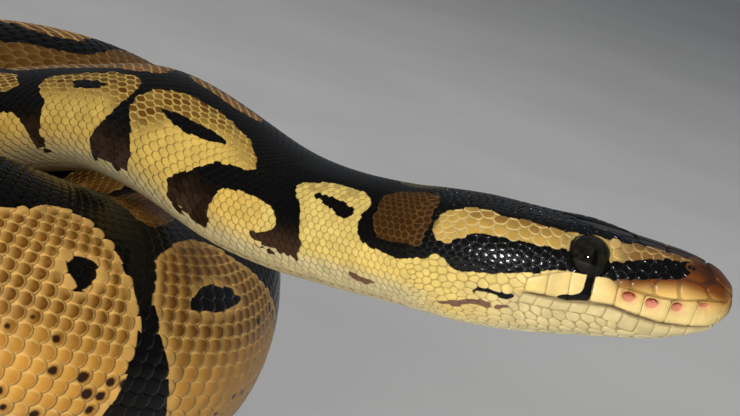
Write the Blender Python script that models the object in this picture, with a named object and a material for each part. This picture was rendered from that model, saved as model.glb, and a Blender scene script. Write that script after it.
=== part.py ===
"""Coiled ball python, life size: head, lower jaw, eyes, neck, trunk lengths and tail as closed solids.

Metres, +Z up. The floor is z = 0 and the origin lies on it under the middle of the coil.
The body is one smooth tube along a centreline that runs from the snout to the tail tip.
It is cut square to the centreline into lengths that stay a hair apart.
"""
import bpy
import bmesh
import numpy as np
from mathutils import Vector

MM = 0.001
GAP = 0.3              # space left at every cut, mm
RING_STEP = 8.5        # spacing of the body's sections, mm
TRUNK_SIDES = 20       # corners round a trunk section
HEAD_SIDES = 28        # corners round a head section

# Centreline in mm (across, away, above the floor): the neck reaches out to the right from
# the top of the pile, the upper coil turns once, and the lower coil lies on the floor with
# the tail curled inside it.
CENTRELINE = [
    # head and raised neck
    (136.8, -83.7, 132.0), (120.6, -83.4, 129.7), (104.6, -82.5, 127.5), (88.1, -79.7, 125.0), (67.6, -66.7, 120.0),
    # forebody crossing the upper coil and sinking behind it
    (49.6, -46.7, 117.2), (30.6, -25.7, 117.4), (10.6, -3.7, 111.4), (-13.4, 13.3, 100.0), (-41.4, 19.8, 88.6),
    # turn at the left into the front of the upper coil
    (-71.0, 8.6, 81.0), (-84.8, -18.7, 79.0), (-74.4, -46.7, 80.5), (-46.4, -59.5, 82.3), (-14.4, -57.7, 83.3),
    # upper coil, right side and back
    (9.6, -50.7, 80.1), (25.6, -32.7, 75.3), (32.4, -4.7, 72.8), (29.6, 23.3, 78.6), (14.6, 47.3, 87.8),
    (-15.4, 61.3, 88.0), (-46.4, 67.3, 77.6), (-79.4, 55.3, 58.6), (-103.4, 25.3, 39.6), (-107.4, -17.7, 28.6),
    # lower coil, on the floor
    (-76.4, -58.7, 26.9), (-17.4, -65.7, 26.4), (31.6, -54.7, 25.1), (53.6, -5.7, 23.8), (43.6, 38.3, 22.4),
    (6.6, 65.3, 20.4), (-29.4, 62.3, 17.9), (-53.4, 36.3, 14.8),
    # tail, curled inside the lower coil
    (-55.4, 6.3, 11.9), (-43.4, -15.7, 9.4), (-21.4, -25.7, 7.3), (-3.4, -14.7, 5.1), (-4.4, 5.3, 3.0), (-19.4, 13.3, 1.0),
]

# Sections in mm: distance from the snout, half width, height over the centreline, depth under it.
SECTIONS = [
    # snout, eyes, jaw corner
    (0.0, 0.02, 0.02, 0.02), (0.6, 3.3, 2.6, 2.0), (1.5, 4.7, 3.6, 3.1), (3, 6.0, 4.9, 4.6), (5, 7.0, 5.8, 5.8),
    (8, 8.1, 6.7, 7.1), (12, 9.0, 7.4, 8.2), (17, 9.9, 8.1, 9.0), (22, 10.7, 8.8, 9.6), (27, 11.7, 9.4, 10.2),
    (33, 12.9, 10.0, 11.0), (39, 13.6, 10.4, 11.5), (45, 13.6, 10.7, 11.7), (51, 12.9, 10.6, 11.4),
    # neck
    (58, 11.9, 10.2, 11.1), (66, 11.2, 10.3, 10.9), (75, 11.1, 10.7, 10.9), (85, 11.6, 11.3, 11.3),
    # forebody, a little flattened where it lies on the coil
    (110, 12.9, 12.9, 12.5), (135, 13.5, 13.5, 12.2), (160, 13.8, 12.0, 10.5), (185, 14.0, 12.1, 11.4),
    (210, 15.4, 14.3, 13.8), (250, 19.8, 19.5, 19.0), (300, 24.8, 24.8, 24.4), (350, 27.4, 27.6, 27.0),
    # thickest part
    (400, 28.0, 28.2, 27.5), (450, 28.3, 28.3, 27.6), (620, 28.0, 28.0, 27.4), (720, 27.9, 27.9, 27.4),
    (800, 28.0, 28.0, 27.6), (845, 27.0, 26.9, 26.6), (885, 26.0, 25.9, 25.7), (935, 24.7, 24.6, 24.3),
    (981, 23.3, 23.2, 23.0),
    # tail
    (1027, 21.3, 21.2, 21.0), (1064, 18.7, 18.6, 18.4), (1101, 15.5, 15.4, 15.2), (1131, 12.5, 12.4, 12.3),
    (1157, 10.0, 9.9, 9.8), (1182, 7.8, 7.7, 7.6), (1204, 5.6, 5.5, 5.4), (1225, 3.4, 3.3, 3.3),
    (1243, 1.3, 1.2, 1.2), (1260, 1.2, 1.1, 1.1),
]

# Where the body is cut, mm from the snout.
HEAD_END = 60
CUTS = [("neck", HEAD_END, 122), ("forebody", 122, 205), ("trunk_1", 205, 280), ("trunk_2", 280, 350),
        ("trunk_3", 350, 425), ("trunk_4", 425, 500), ("trunk_5", 500, 575), ("trunk_6", 575, 655),
        ("trunk_7", 655, 735), ("trunk_8", 735, 815), ("trunk_9", 815, 890), ("trunk_10", 890, 965),
        ("trunk_11", 965, 1035), ("trunk_12", 1035, 1105), ("tail_base", 1105, 1165), ("tail_tip", 1165, None)]

# Eyes: round balls seated in the sides of the head.
EYE_RADIUS = 4.2
EYE_X = 110.4          # across
EYE_SIDE = 6.9         # from the head's middle plane
EYE_Z = 133.9          # above the floor
HEAD_MIDDLE_Y = -82.9

# Mouth line on the side of the head (across, above the floor), mm, from ahead of the snout
# to behind the jaw's corner, where it turns down through the throat.
MOUTH = [(141.0, 128.6), (136.4, 128.3), (133.1, 127.3), (129.4, 126.7), (125.1, 126.2), (120.8, 126.5),
         (117.1, 127.0), (113.2, 126.5), (109.6, 125.8), (104.2, 125.3), (100.5, 124.4), (98.2, 121.0),
         (96.6, 114.0), (95.0, 104.0)]
MOUTH_HALF_WIDTH = 20.0

COLOURS = {
    "head": (0.060, 0.042, 0.026), "lower_jaw": (0.62, 0.50, 0.27), "neck": (0.10, 0.055, 0.025),
    "forebody": (0.42, 0.25, 0.08), "trunk": (0.36, 0.19, 0.055), "tail": (0.22, 0.12, 0.04),
    "eye": (0.030, 0.034, 0.026),
}


def spline(points, spacing):
    """Natural cubic spline through the points, walked at an even spacing."""
    p = np.array(points, dtype=float)
    t = np.concatenate([[0.0], np.cumsum(np.linalg.norm(np.diff(p, axis=0), axis=1))])
    n, h = len(t), np.diff(t)
    a, b = np.zeros((n, n)), np.zeros((n, 3))
    a[0, 0] = a[-1, -1] = 1.0
    for i in range(1, n - 1):
        a[i, i - 1], a[i, i], a[i, i + 1] = h[i - 1], 2 * (h[i - 1] + h[i]), h[i]
        b[i] = 6 * ((p[i + 1] - p[i]) / h[i] - (p[i] - p[i - 1]) / h[i - 1])
    m = np.linalg.solve(a, b)
    x = np.linspace(0.0, t[-1], 6000)
    i = np.clip(np.searchsorted(t, x) - 1, 0, n - 2)
    hh, u, v = h[i][:, None], ((t[i + 1] - x) / h[i])[:, None], ((x - t[i]) / h[i])[:, None]
    q = u * p[i] + v * p[i + 1] + ((u ** 3 - u) * m[i] + (v ** 3 - v) * m[i + 1]) * hh * hh / 6
    along = np.concatenate([[0.0], np.cumsum(np.linalg.norm(np.diff(q, axis=0), axis=1))])
    s = np.arange(0.0, along[-1], spacing)
    return s, np.stack([np.interp(s, along, q[:, k]) for k in range(3)], axis=1)


def smooth_table(table, column, s):
    """Monotone cubic through one column of a table."""
    x, y = np.array([r[0] for r in table], float), np.array([r[column] for r in table], float)
    h, m = np.diff(x), np.zeros(len(x))
    d = np.diff(y) / h
    m[0], m[-1] = d[0], d[-1]
    for i in range(1, len(x) - 1):
        if d[i - 1] * d[i] > 0:
            m[i] = 3 * (h[i - 1] + h[i]) / ((2 * h[i] + h[i - 1]) / d[i - 1] + (h[i] + 2 * h[i - 1]) / d[i])
    i = np.clip(np.searchsorted(x, s, side="right") - 1, 0, len(x) - 2)
    t = (s - x[i]) / h[i]
    return ((2 * t ** 3 - 3 * t ** 2 + 1) * y[i] + (t ** 3 - 2 * t ** 2 + t) * h[i] * m[i]
            + (-2 * t ** 3 + 3 * t ** 2) * y[i + 1] + (t ** 3 - t ** 2) * h[i] * m[i + 1])


WALK, PATH = spline(CENTRELINE, 0.5)
ALONG = np.gradient(PATH, axis=0)
ALONG /= np.linalg.norm(ALONG, axis=1)[:, None]
UP = np.array([0.0, 0.0, 1.0]) - ALONG[:, 2:3] * ALONG
UP /= np.linalg.norm(UP, axis=1)[:, None]
LENGTH = WALK[-1]


def at(s):
    """Centre, direction towards the tail, back direction and side direction at distance s."""
    c = np.array([np.interp(s, WALK, PATH[:, k]) for k in range(3)])
    t = np.array([np.interp(s, WALK, ALONG[:, k]) for k in range(3)])
    u = np.array([np.interp(s, WALK, UP[:, k]) for k in range(3)])
    t /= np.linalg.norm(t)
    u = u - t * u.dot(t)
    u /= np.linalg.norm(u)
    return c, t, u, np.cross(t, u)


def ring(s, sides, shift=0.0):
    """Corners of the section at distance s, resting flat where it reaches the floor."""
    c, t, u, side = at(s)
    half, over, under = (float(smooth_table(SECTIONS, k, np.array([s]))[0]) for k in (1, 2, 3))
    headness = min(max((60 - s) / 20, 0.0), 1.0)
    out = []
    for i in range(sides):
        a = 2 * np.pi * (i + 0.5) / sides
        ca, sa = np.cos(a), np.sin(a)
        q = 2 / (2.0 + 0.35 * headness) if ca >= 0 else 2 / (2.15 + 0.15 * headness)
        across = half * np.sign(sa) * abs(sa) ** q
        height = (over if ca >= 0 else under) * np.sign(ca) * abs(ca) ** q
        p = c + t * shift + side * across + u * height
        p[2] = max(p[2], 0.0)
        out.append(Vector(p * MM))
    return out


def loft(name, rings, collection, start_point=None, end_point=None):
    """Closed solid through rings of equal count, with flat or pointed ends."""
    bm = bmesh.new()
    rows = [[bm.verts.new(v) for v in r] for r in rings]
    n = len(rows[0])
    for a, b in zip(rows, rows[1:]):
        for i in range(n):
            j = (i + 1) % n
            bm.faces.new((a[i], a[j], b[j], b[i]))
    for row, point, turn in ((rows[0], start_point, True), (rows[-1], end_point, False)):
        if point is None:
            bm.faces.new(row[::-1] if turn else row)
        else:
            tip = bm.verts.new(point)
            for i in range(n):
                j = (i + 1) % n
                bm.faces.new((row[j], row[i], tip) if turn else (row[i], row[j], tip))
    bmesh.ops.recalc_face_normals(bm, faces=bm.faces)
    mesh = bpy.data.meshes.new(name)
    bm.to_mesh(mesh)
    bm.free()
    mesh.shade_smooth()
    mesh.set_sharp_from_angle(angle=0.7)
    obj = bpy.data.objects.new(name, mesh)
    collection.objects.link(obj)
    return obj


def material(name, colour, roughness):
    mat = bpy.data.materials.new(name)
    mat.use_nodes = True
    shader = mat.node_tree.nodes["Principled BSDF"]
    shader.inputs["Base Color"].default_value = (*colour, 1.0)
    shader.inputs["Roughness"].default_value = roughness
    shader.inputs["Metallic"].default_value = 0.0
    return mat


def ball(name, centre, radius, collection):
    bm = bmesh.new()
    bmesh.ops.create_uvsphere(bm, u_segments=20, v_segments=12, radius=radius * MM)
    mesh = bpy.data.meshes.new(name)
    bm.to_mesh(mesh)
    bm.free()
    mesh.shade_smooth()
    obj = bpy.data.objects.new(name, mesh)
    obj.location = Vector(centre) * MM
    obj.rotation_euler = (1.5708, 0.0, 0.0)
    collection.objects.link(obj)
    return obj


def ribbon(name, line, half_width, thickness, collection):
    """Thin wall that follows a line in the middle plane of the head and runs right across it."""
    pts = [Vector((x, 0.0, z)) for x, z in line]
    normals = []
    for i in range(len(pts)):
        d = (pts[min(i + 1, len(pts) - 1)] - pts[max(i - 1, 0)]).normalized()
        normals.append(Vector((d.z, 0.0, -d.x)))
    rings = []
    for p, nrm in zip(pts, normals):
        loop = []
        for y, k in ((-half_width, 1), (half_width, 1), (half_width, -1), (-half_width, -1)):
            q = p + nrm * (k * thickness / 2)
            loop.append(Vector((q.x, HEAD_MIDDLE_Y + y, q.z)) * MM)
        rings.append(loop)
    return loft(name, rings, collection)


def cut(obj, cutter):
    mod = obj.modifiers.new(cutter.name, 'BOOLEAN')
    mod.operation = 'DIFFERENCE'
    mod.solver = 'EXACT'
    mod.object = cutter
    return mod


def keep_side(obj, name, collection, lower):
    """New object with only the piece of an already cut head that is the jaw, or only the rest."""
    bpy.context.view_layer.update()
    evaluated = obj.evaluated_get(bpy.context.evaluated_depsgraph_get())
    mesh = bpy.data.meshes.new_from_object(evaluated)
    bm = bmesh.new()
    bm.from_mesh(mesh)
    left, pieces = set(bm.verts), []
    while left:
        stack, found = [left.pop()], []
        while stack:
            v = stack.pop()
            found.append(v)
            for e in v.link_edges:
                w = e.other_vert(v)
                if w in left:
                    left.remove(w)
                    stack.append(w)
        pieces.append(found)
    pieces.sort(key=lambda vs: max(v.co.z for v in vs))
    drop = [v for piece in (pieces[1:] if lower else pieces[:1]) for v in piece]
    bmesh.ops.delete(bm, geom=drop, context='VERTS')
    bm.to_mesh(mesh)
    bm.free()
    mesh.name = name
    new = bpy.data.objects.new(name, mesh)
    collection.objects.link(new)
    return new


def build():
    for obj in list(bpy.data.objects):
        bpy.data.objects.remove(obj, do_unlink=True)
    parts = bpy.data.collections.new("coiled_ball_python")
    cutters = bpy.data.collections.new("cutters")
    for c in (parts, cutters):
        bpy.context.scene.collection.children.link(c)

    # head, with the eye sockets and the closed mouth cut into it
    stations = [0.6, 1.5, 3, 5, 8, 11, 14.5, 18, 22, 26, 30, 34, 38, 42, 46, 50, 55]
    rings = [ring(s, HEAD_SIDES) for s in stations] + [ring(HEAD_END, HEAD_SIDES, -GAP / 2)]
    whole = loft("head_blank", rings, cutters, start_point=Vector(at(0.0)[0] * MM))
    for side, sign in (("left", 1), ("right", -1)):
        centre = (EYE_X, HEAD_MIDDLE_Y + sign * EYE_SIDE, EYE_Z)
        socket = ball("socket_" + side, centre, EYE_RADIUS + GAP, cutters)
        socket.display_type, socket.hide_render = 'WIRE', True
        cut(whole, socket)
        eye = ball("eye_" + side, centre, EYE_RADIUS, parts)
        eye.data.materials.append(material("eye_" + side, COLOURS["eye"], 0.08))
    mouth = ribbon("mouth_cut", MOUTH, MOUTH_HALF_WIDTH, GAP, cutters)
    mouth.display_type, mouth.hide_render = 'WIRE', True
    cut(whole, mouth)
    whole.display_type, whole.hide_render = 'WIRE', True
    head = keep_side(whole, "head", parts, lower=False)
    jaw = keep_side(whole, "lower_jaw", parts, lower=True)
    head.data.materials.append(material("head", COLOURS["head"], 0.35))
    jaw.data.materials.append(material("lower_jaw", COLOURS["lower_jaw"], 0.45))

    # neck, trunk lengths and tail
    for name, start, end in CUTS:
        last = LENGTH - 0.3 if end is None else end
        step = RING_STEP if start < 1100 else 5.0
        count = max(2, round((last - start) / step))
        stations = np.linspace(start, last, count + 1)
        rings = [ring(stations[0], TRUNK_SIDES, GAP / 2)]
        rings += [ring(s, TRUNK_SIDES) for s in stations[1:-1]]
        rings.append(ring(last, TRUNK_SIDES, 0.0 if end is None else -GAP / 2))
        obj = loft(name, rings, parts)
        kind = name.split("_")[0]
        obj.data.materials.append(material(name, COLOURS[kind], 0.45))


build()
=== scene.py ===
"""Looks of the coiled ball python: one skin, mesh scales, head shields, eyes, floor, lights, camera.

Lengths are millimetres until a mesh is made. A place on the body is (s, turn): s is the
distance from the snout along the middle of the body, and turn goes round it, 0 on the back
line and 1 on the belly line, plus on the animal's left and minus on its right.
"""

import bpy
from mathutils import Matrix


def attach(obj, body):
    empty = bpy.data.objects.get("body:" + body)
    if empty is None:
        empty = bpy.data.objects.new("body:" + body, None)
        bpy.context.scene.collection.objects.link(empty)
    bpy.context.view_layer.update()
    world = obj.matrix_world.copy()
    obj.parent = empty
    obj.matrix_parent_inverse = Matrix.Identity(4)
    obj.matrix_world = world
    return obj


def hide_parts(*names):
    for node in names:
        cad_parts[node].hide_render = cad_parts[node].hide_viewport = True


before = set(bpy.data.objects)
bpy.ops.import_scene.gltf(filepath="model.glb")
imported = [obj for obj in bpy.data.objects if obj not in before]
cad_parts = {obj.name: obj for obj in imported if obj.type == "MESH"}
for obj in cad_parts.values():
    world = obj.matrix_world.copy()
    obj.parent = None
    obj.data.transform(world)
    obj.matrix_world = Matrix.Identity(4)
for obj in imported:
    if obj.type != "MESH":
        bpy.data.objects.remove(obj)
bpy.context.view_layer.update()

import bpy
import numpy as np
from mathutils import Matrix, Vector

MM = 0.001

# ---------------------------------------------------------------- body form, as in the CAD

CENTRELINE = [
    (136.8, -83.7, 132.0), (120.6, -83.4, 129.7), (104.6, -82.5, 127.5), (88.1, -79.7, 125.0),
    (67.6, -66.7, 120.0), (49.6, -46.7, 117.2), (30.6, -25.7, 117.4), (10.6, -3.7, 111.4),
    (-13.4, 13.3, 100.0), (-41.4, 19.8, 88.6), (-71.0, 8.6, 81.0), (-84.8, -18.7, 79.0),
    (-74.4, -46.7, 80.5), (-46.4, -59.5, 82.3), (-14.4, -57.7, 83.3), (9.6, -50.7, 80.1),
    (25.6, -32.7, 75.3), (32.4, -4.7, 72.8), (29.6, 23.3, 78.6), (14.6, 47.3, 87.8), (-15.4, 61.3, 88.0),
    (-46.4, 67.3, 77.6), (-79.4, 55.3, 58.6), (-103.4, 25.3, 39.6), (-107.4, -17.7, 28.6),
    (-76.4, -58.7, 26.9), (-17.4, -65.7, 26.4), (31.6, -54.7, 25.1), (53.6, -5.7, 23.8),
    (43.6, 38.3, 22.4), (6.6, 65.3, 20.4), (-29.4, 62.3, 17.9), (-53.4, 36.3, 14.8), (-55.4, 6.3, 11.9),
    (-43.4, -15.7, 9.4), (-21.4, -25.7, 7.3), (-3.4, -14.7, 5.1), (-4.4, 5.3, 3.0), (-19.4, 13.3, 1.0),
]

# distance from the snout, half width, height over the centreline, depth under it
SECTIONS = [
    (0.0, 0.02, 0.02, 0.02), (0.6, 3.3, 2.6, 2.0), (1.5, 4.7, 3.6, 3.1), (3, 6.0, 4.9, 4.6),
    (5, 7.0, 5.8, 5.8), (8, 8.1, 6.7, 7.1), (12, 9.0, 7.4, 8.2), (17, 9.9, 8.1, 9.0), (22, 10.7, 8.8, 9.6),
    (27, 11.7, 9.4, 10.2), (33, 12.9, 10.0, 11.0), (39, 13.6, 10.4, 11.5), (45, 13.6, 10.7, 11.7),
    (51, 12.9, 10.6, 11.4), (58, 11.9, 10.2, 11.1), (66, 11.2, 10.3, 10.9), (75, 11.1, 10.7, 10.9),
    (85, 11.6, 11.3, 11.3), (110, 12.9, 12.9, 12.5), (135, 13.5, 13.5, 12.2), (160, 13.8, 12.0, 10.5),
    (185, 14.0, 12.1, 11.4), (210, 15.4, 14.3, 13.8), (250, 19.8, 19.5, 19.0), (300, 24.8, 24.8, 24.4),
    (350, 27.4, 27.6, 27.0), (400, 28.0, 28.2, 27.5), (450, 28.3, 28.3, 27.6), (620, 28.0, 28.0, 27.4),
    (720, 27.9, 27.9, 27.4), (800, 28.0, 28.0, 27.6), (845, 27.0, 26.9, 26.6), (885, 26.0, 25.9, 25.7),
    (935, 24.7, 24.6, 24.3), (981, 23.3, 23.2, 23.0), (1027, 21.3, 21.2, 21.0), (1064, 18.7, 18.6, 18.4),
    (1101, 15.5, 15.4, 15.2), (1131, 12.5, 12.4, 12.3), (1157, 10.0, 9.9, 9.8), (1182, 7.8, 7.7, 7.6),
    (1204, 5.6, 5.5, 5.4), (1225, 3.4, 3.3, 3.3), (1243, 1.3, 1.2, 1.2), (1260, 1.2, 1.1, 1.1),
]

FLESH = ["head", "lower_jaw", "neck", "forebody", *[f"trunk_{i}" for i in range(1, 13)],
         "tail_base", "tail_tip"]

EYE_RADIUS = 4.1
EYE_X, EYE_SIDE, EYE_Z, HEAD_MIDDLE_Y = 110.2, 7.35, 132.85, -82.9
EYE_S, EYE_TURN = 25.4, 0.298  # place of the head's surface nearest to the middle of the eyeball
GAZE = (0.19, 0.945, 0.265)    # of the left eye

# side view of the closed mouth (across, above the floor), from ahead of the snout to the corner
MOUTH = [
    (141.0, 128.6), (136.4, 128.3), (133.1, 127.3), (129.4, 126.7), (125.1, 126.2), (120.8, 126.5),
    (117.1, 127.0), (113.2, 126.5), (109.6, 125.8), (104.2, 125.3), (100.5, 124.4),
]
MOUTH_CORNER = 35.5            # s of the corner
HEAD_END = 52.0                # s where head scales give way to the body's rows
FOLDS_END = HEAD_END + 14      # s where the last of the head's folds has faded out

# folds of the head: height, then place (s, turn), length and width
HEAD_FOLDS = [
    (0.70, 25.5, 0.125, 6, 2.0),    # brow
    (0.30, 14, 0.17, 7, 1.6),       # ridge from the brow to the nostril
    (-0.50, 16.5, 0.31, 5, 2.3),    # hollow ahead of the eye
    (-0.30, 25.5, 0.45, 6, 1.8),    # hollow under the eye
    (0.40, 44, 0.45, 7, 6),         # jaw muscle
    (-0.25, 33, 0.05, 9, 3),        # crown between the muscles
]


def unit(v):
    return v / np.maximum(np.linalg.norm(v, axis=-1, keepdims=True), 1e-9)


def smoothstep(a, b, x):
    """0 at a and 1 at b, smooth between; it falls where a is the larger."""
    t = np.clip((x - a) / (b - a), 0, 1)
    return t * t * (3 - 2 * t)


def window(x, a, b, c, d):
    """0 up to a, 1 from b to c, 0 from d."""
    return smoothstep(a, b, x) * (1 - smoothstep(c, d, x))


def running_sum(steps):
    return np.concatenate([[0.0], np.cumsum(steps)])


def interp_rows(x, known, rows):
    """Rows of an array that belong to the known places, interpolated at x."""
    return np.stack([np.interp(x, known, column) for column in rows.T], 1)


def spline(points, spacing):
    """Natural cubic spline through the points, walked at an even spacing."""
    p = np.array(points, dtype=float)
    t = running_sum(np.linalg.norm(np.diff(p, axis=0), axis=1))
    h = np.diff(t)
    a = np.diag([1.0, *2 * (h[:-1] + h[1:]), 1.0]) + np.diag([*h[:-1], 0.0], -1) + np.diag([0.0, *h[1:]], 1)
    b = np.pad(6 * np.diff(np.diff(p, axis=0) / h[:, None], axis=0), ((1, 1), (0, 0)))
    m = np.linalg.solve(a, b)
    x = np.linspace(0.0, t[-1], 6000)
    i = np.clip(np.searchsorted(t, x) - 1, 0, len(h) - 1)
    hh, u, v = h[i][:, None], ((t[i + 1] - x) / h[i])[:, None], ((x - t[i]) / h[i])[:, None]
    q = u * p[i] + v * p[i + 1] + ((u ** 3 - u) * m[i] + (v ** 3 - v) * m[i + 1]) * hh * hh / 6
    along = running_sum(np.linalg.norm(np.diff(q, axis=0), axis=1))
    s = np.arange(0.0, along[-1], spacing)
    return s, interp_rows(s, along, q)


def smooth_table(table, column, s):
    """Monotone cubic through one column of a table."""
    x, y = np.array(table, float).T[[0, column]]
    h, m = np.diff(x), np.zeros(len(x))
    d = np.diff(y) / h
    m[0], m[-1] = d[0], d[-1]
    for i in range(1, len(x) - 1):
        if d[i - 1] * d[i] > 0:
            m[i] = 3 * (h[i - 1] + h[i]) / ((2 * h[i] + h[i - 1]) / d[i - 1] + (h[i] + 2 * h[i - 1]) / d[i])
    i = np.clip(np.searchsorted(x, s, side="right") - 1, 0, len(x) - 2)
    t = (s - x[i]) / h[i]
    return ((2 * t ** 3 - 3 * t ** 2 + 1) * y[i] + (t ** 3 - 2 * t ** 2 + t) * h[i] * m[i]
            + (-2 * t ** 3 + 3 * t ** 2) * y[i + 1] + (t ** 3 - t ** 2) * h[i] * m[i + 1])


WALK, PATH = spline(CENTRELINE, 0.5)
LENGTH = WALK[-1] - 0.3
STATIONS = np.concatenate([np.linspace(0.05, 1, 24) ** 2 * 4, np.arange(4.5, LENGTH - 0.25, 0.5), [LENGTH]])
TURNS = np.linspace(-1, 1, 241)


def body_table():
    """Points, outward normals, half girth, bend and middle of the body on a grid of stations and turns."""
    ahead = unit(np.gradient(PATH, axis=0))
    up = unit(np.array([0, 0, 1.0]) - ahead[:, 2:3] * ahead)
    centre, ahead, up = (interp_rows(STATIONS, WALK, rows) for rows in (PATH, ahead, up))
    ahead = unit(ahead)
    up = unit(up - ahead * np.sum(up * ahead, 1, keepdims=True))
    side = np.cross(ahead, up)
    half, over, under = (smooth_table(SECTIONS, k, STATIONS)[:, None] for k in (1, 2, 3))
    headness = np.clip((60 - STATIONS) / 20, 0, 1)[:, None]
    angle = np.linspace(0, np.pi, 721)[None, :]
    cosine, sine = np.cos(angle), np.sin(angle)
    power = np.where(cosine >= 0, 2 / (2.0 + 0.35 * headness), 2 / (2.15 + 0.15 * headness))
    across = half * np.abs(sine) ** power
    height = np.where(cosine >= 0, over, under) * np.sign(cosine) * np.abs(cosine) ** power
    arc = np.cumsum(np.hypot(np.diff(across, axis=1, prepend=0), np.diff(height, axis=1, prepend=over)), 1)
    girth = arc[:, -1]
    middle = len(TURNS) // 2
    points = np.zeros((len(STATIONS), len(TURNS), 3))
    for i in range(len(STATIONS)):
        x, z = (np.interp(TURNS[middle:] * girth[i], arc[i], row[i])[:, None] for row in (across, height))
        points[i, middle:] = centre[i] + x * side[i] + z * up[i]
        points[i, middle::-1] = centre[i] - x * side[i] + z * up[i]
    around = np.gradient(points, axis=1)
    around[:, 0] = around[:, -1] = points[:, 1] - points[:, -2]
    normals = unit(np.cross(np.gradient(points, axis=0), around))
    normals *= np.sign(np.sum(normals * (points - centre[:, None]), 2, keepdims=True) + 1e-9)
    bend = np.linalg.norm(np.gradient(ahead, axis=0), axis=1) / np.gradient(STATIONS)
    return points, normals, girth, bend, centre


POINTS, NORMALS, GIRTH, BEND, MIDDLE = body_table()


def half_girth(s):
    return np.interp(s, STATIONS, GIRTH)


def mouth_turns():
    """Turn of the mouth line for stations from the snout to the mouth's corner."""
    line = np.array(MOUTH)[::-1]
    s, out = STATIONS[(STATIONS > 2.0) & (STATIONS < MOUTH_CORNER + 3)], []
    for d in s:
        row = POINTS[np.searchsorted(STATIONS, d), len(TURNS) // 2:]
        gap = row[:, 2] - np.interp(row[:, 0], line[:, 0], line[:, 1])
        below = np.nonzero(gap < 0)[0]
        k = below[0] if len(below) else len(gap) - 1
        f = gap[k - 1] / max(gap[k - 1] - gap[k], 1e-6) if len(below) and k else 0
        out.append((k - 1 + f) * (TURNS[1] - TURNS[0]))
    return s, np.array(out)


MOUTH_S, MOUTH_TURN = mouth_turns()


def mouth_turn(s):
    return np.interp(s, MOUTH_S, MOUTH_TURN)


def head_relief(s, turn):
    """Height in mm of the head's folds over the plain form."""
    t, girth = np.abs(turn), half_girth(s)
    lip = (t - mouth_turn(s)) * girth
    closed = window(s, 2.0, 2.8, MOUTH_CORNER - 2, MOUTH_CORNER + 2)
    relief = 0.0
    for high, s0, t0, long, wide in HEAD_FOLDS:
        relief = relief + high * np.exp(-((s - s0) / long) ** 2 - ((t - t0) * girth / wide) ** 2)
    relief += closed * (0.25 * np.exp(-((lip + 1.5) / 1.2) ** 2) + 0.15 * np.exp(-((lip - 1.6) / 1.2) ** 2))
    relief -= closed * 0.60 * np.exp(-(lip / 0.30) ** 2)
    return relief - 0.45 * np.exp(-((1 - t) * girth / 0.5) ** 2) * window(s, 5, 8, 26, 32)


def wrapped(turn):
    return (turn + 1) % 2 - 1


def surface(s, turn, height=0.0):
    """Points in mm over the places (s, turn), at a height over the body's form."""
    s, turn, height = np.broadcast_arrays(np.asarray(s, float), np.asarray(turn, float), height)
    turn = wrapped(turn)
    height = height + (1 - smoothstep(HEAD_END, FOLDS_END, s)) * head_relief(s, turn)
    i = np.clip(np.interp(s, STATIONS, np.arange(len(STATIONS))), 0, len(STATIONS) - 1.001)
    j = np.clip((turn + 1) / 2 * (len(TURNS) - 1), 0, len(TURNS) - 1.001)
    i0, j0 = i.astype(int), j.astype(int)
    fi, fj = (i - i0)[..., None], (j - j0)[..., None]

    def between(grid):
        ahead = grid[i0, j0] * (1 - fj) + grid[i0, j0 + 1] * fj
        behind = grid[i0 + 1, j0] * (1 - fj) + grid[i0 + 1, j0 + 1] * fj
        return ahead * (1 - fi) + behind * fi

    point = between(POINTS) + unit(between(NORMALS)) * height[..., None]
    point[..., 2] = np.maximum(point[..., 2], 0.0)
    return point


# ---------------------------------------------------------------- rows of scales

ROW_GROWTH = 0.030             # how much wider each row is than the one above it
# distance from the snout, length of a scale on a straight body, rows on each side of the back line
ROWS = [
    (40, 1.2, 26.5), (52, 1.25, 26.5), (65, 1.5, 26.5), (85, 2.1, 26.5), (100, 2.9, 27), (115, 3.4, 27),
    (150, 3.6, 27), (200, 3.3, 27), (300, 3.1, 27), (400, 3.1, 27), (800, 3.1, 27), (950, 2.9, 24),
    (1060, 2.7, 20), (1110, 2.5, 18), (1165, 2.1, 13), (1225, 1.4, 8), (1250, 1.1, 6),
]
MOST_ROWS = 29
# the side of the front coil, where the skin is stretched: distance from the snout, length of a scale
STRETCHED = [(370, 2.2), (385, 2.0), (398, 1.9), (408, 1.8), (415, 1.85), (420, 2.15), (426, 2.9),
             (432, 3.6), (441, 3.9), (455, 3.6), (470, 3.1)]
SCALE_DEPTH = [(0, 0.22), (45, 0.15), (70, 0.09), (170, 0.09), (260, 0.24), (380, 0.42), (1000, 0.36),
               (1250, 0.14)]
VENT = 1112.0                  # s where the tail starts
BELLY_SHARE = 0.165            # half width of the belly plates, in half girths


def look_up(rows, s, column=1):
    return np.interp(s, [row[0] for row in rows], [row[column] for row in rows])


def thickness(s):
    """How far scales stand over the skin."""
    return look_up(SCALE_DEPTH, s)


def row_reach(k):
    return (np.exp(ROW_GROWTH * k) - 1) / ROW_GROWTH


def row_width(s):
    """Width of the row on the back line."""
    return half_girth(s) * (1 - BELLY_SHARE) / row_reach(look_up(ROWS, s, 2) + 0.5)


def squareness(s):
    """How far the skin of the front coil is sheared: its rows stand almost side by side there."""
    return window(s, 290, 385, 475, 580)


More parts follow.
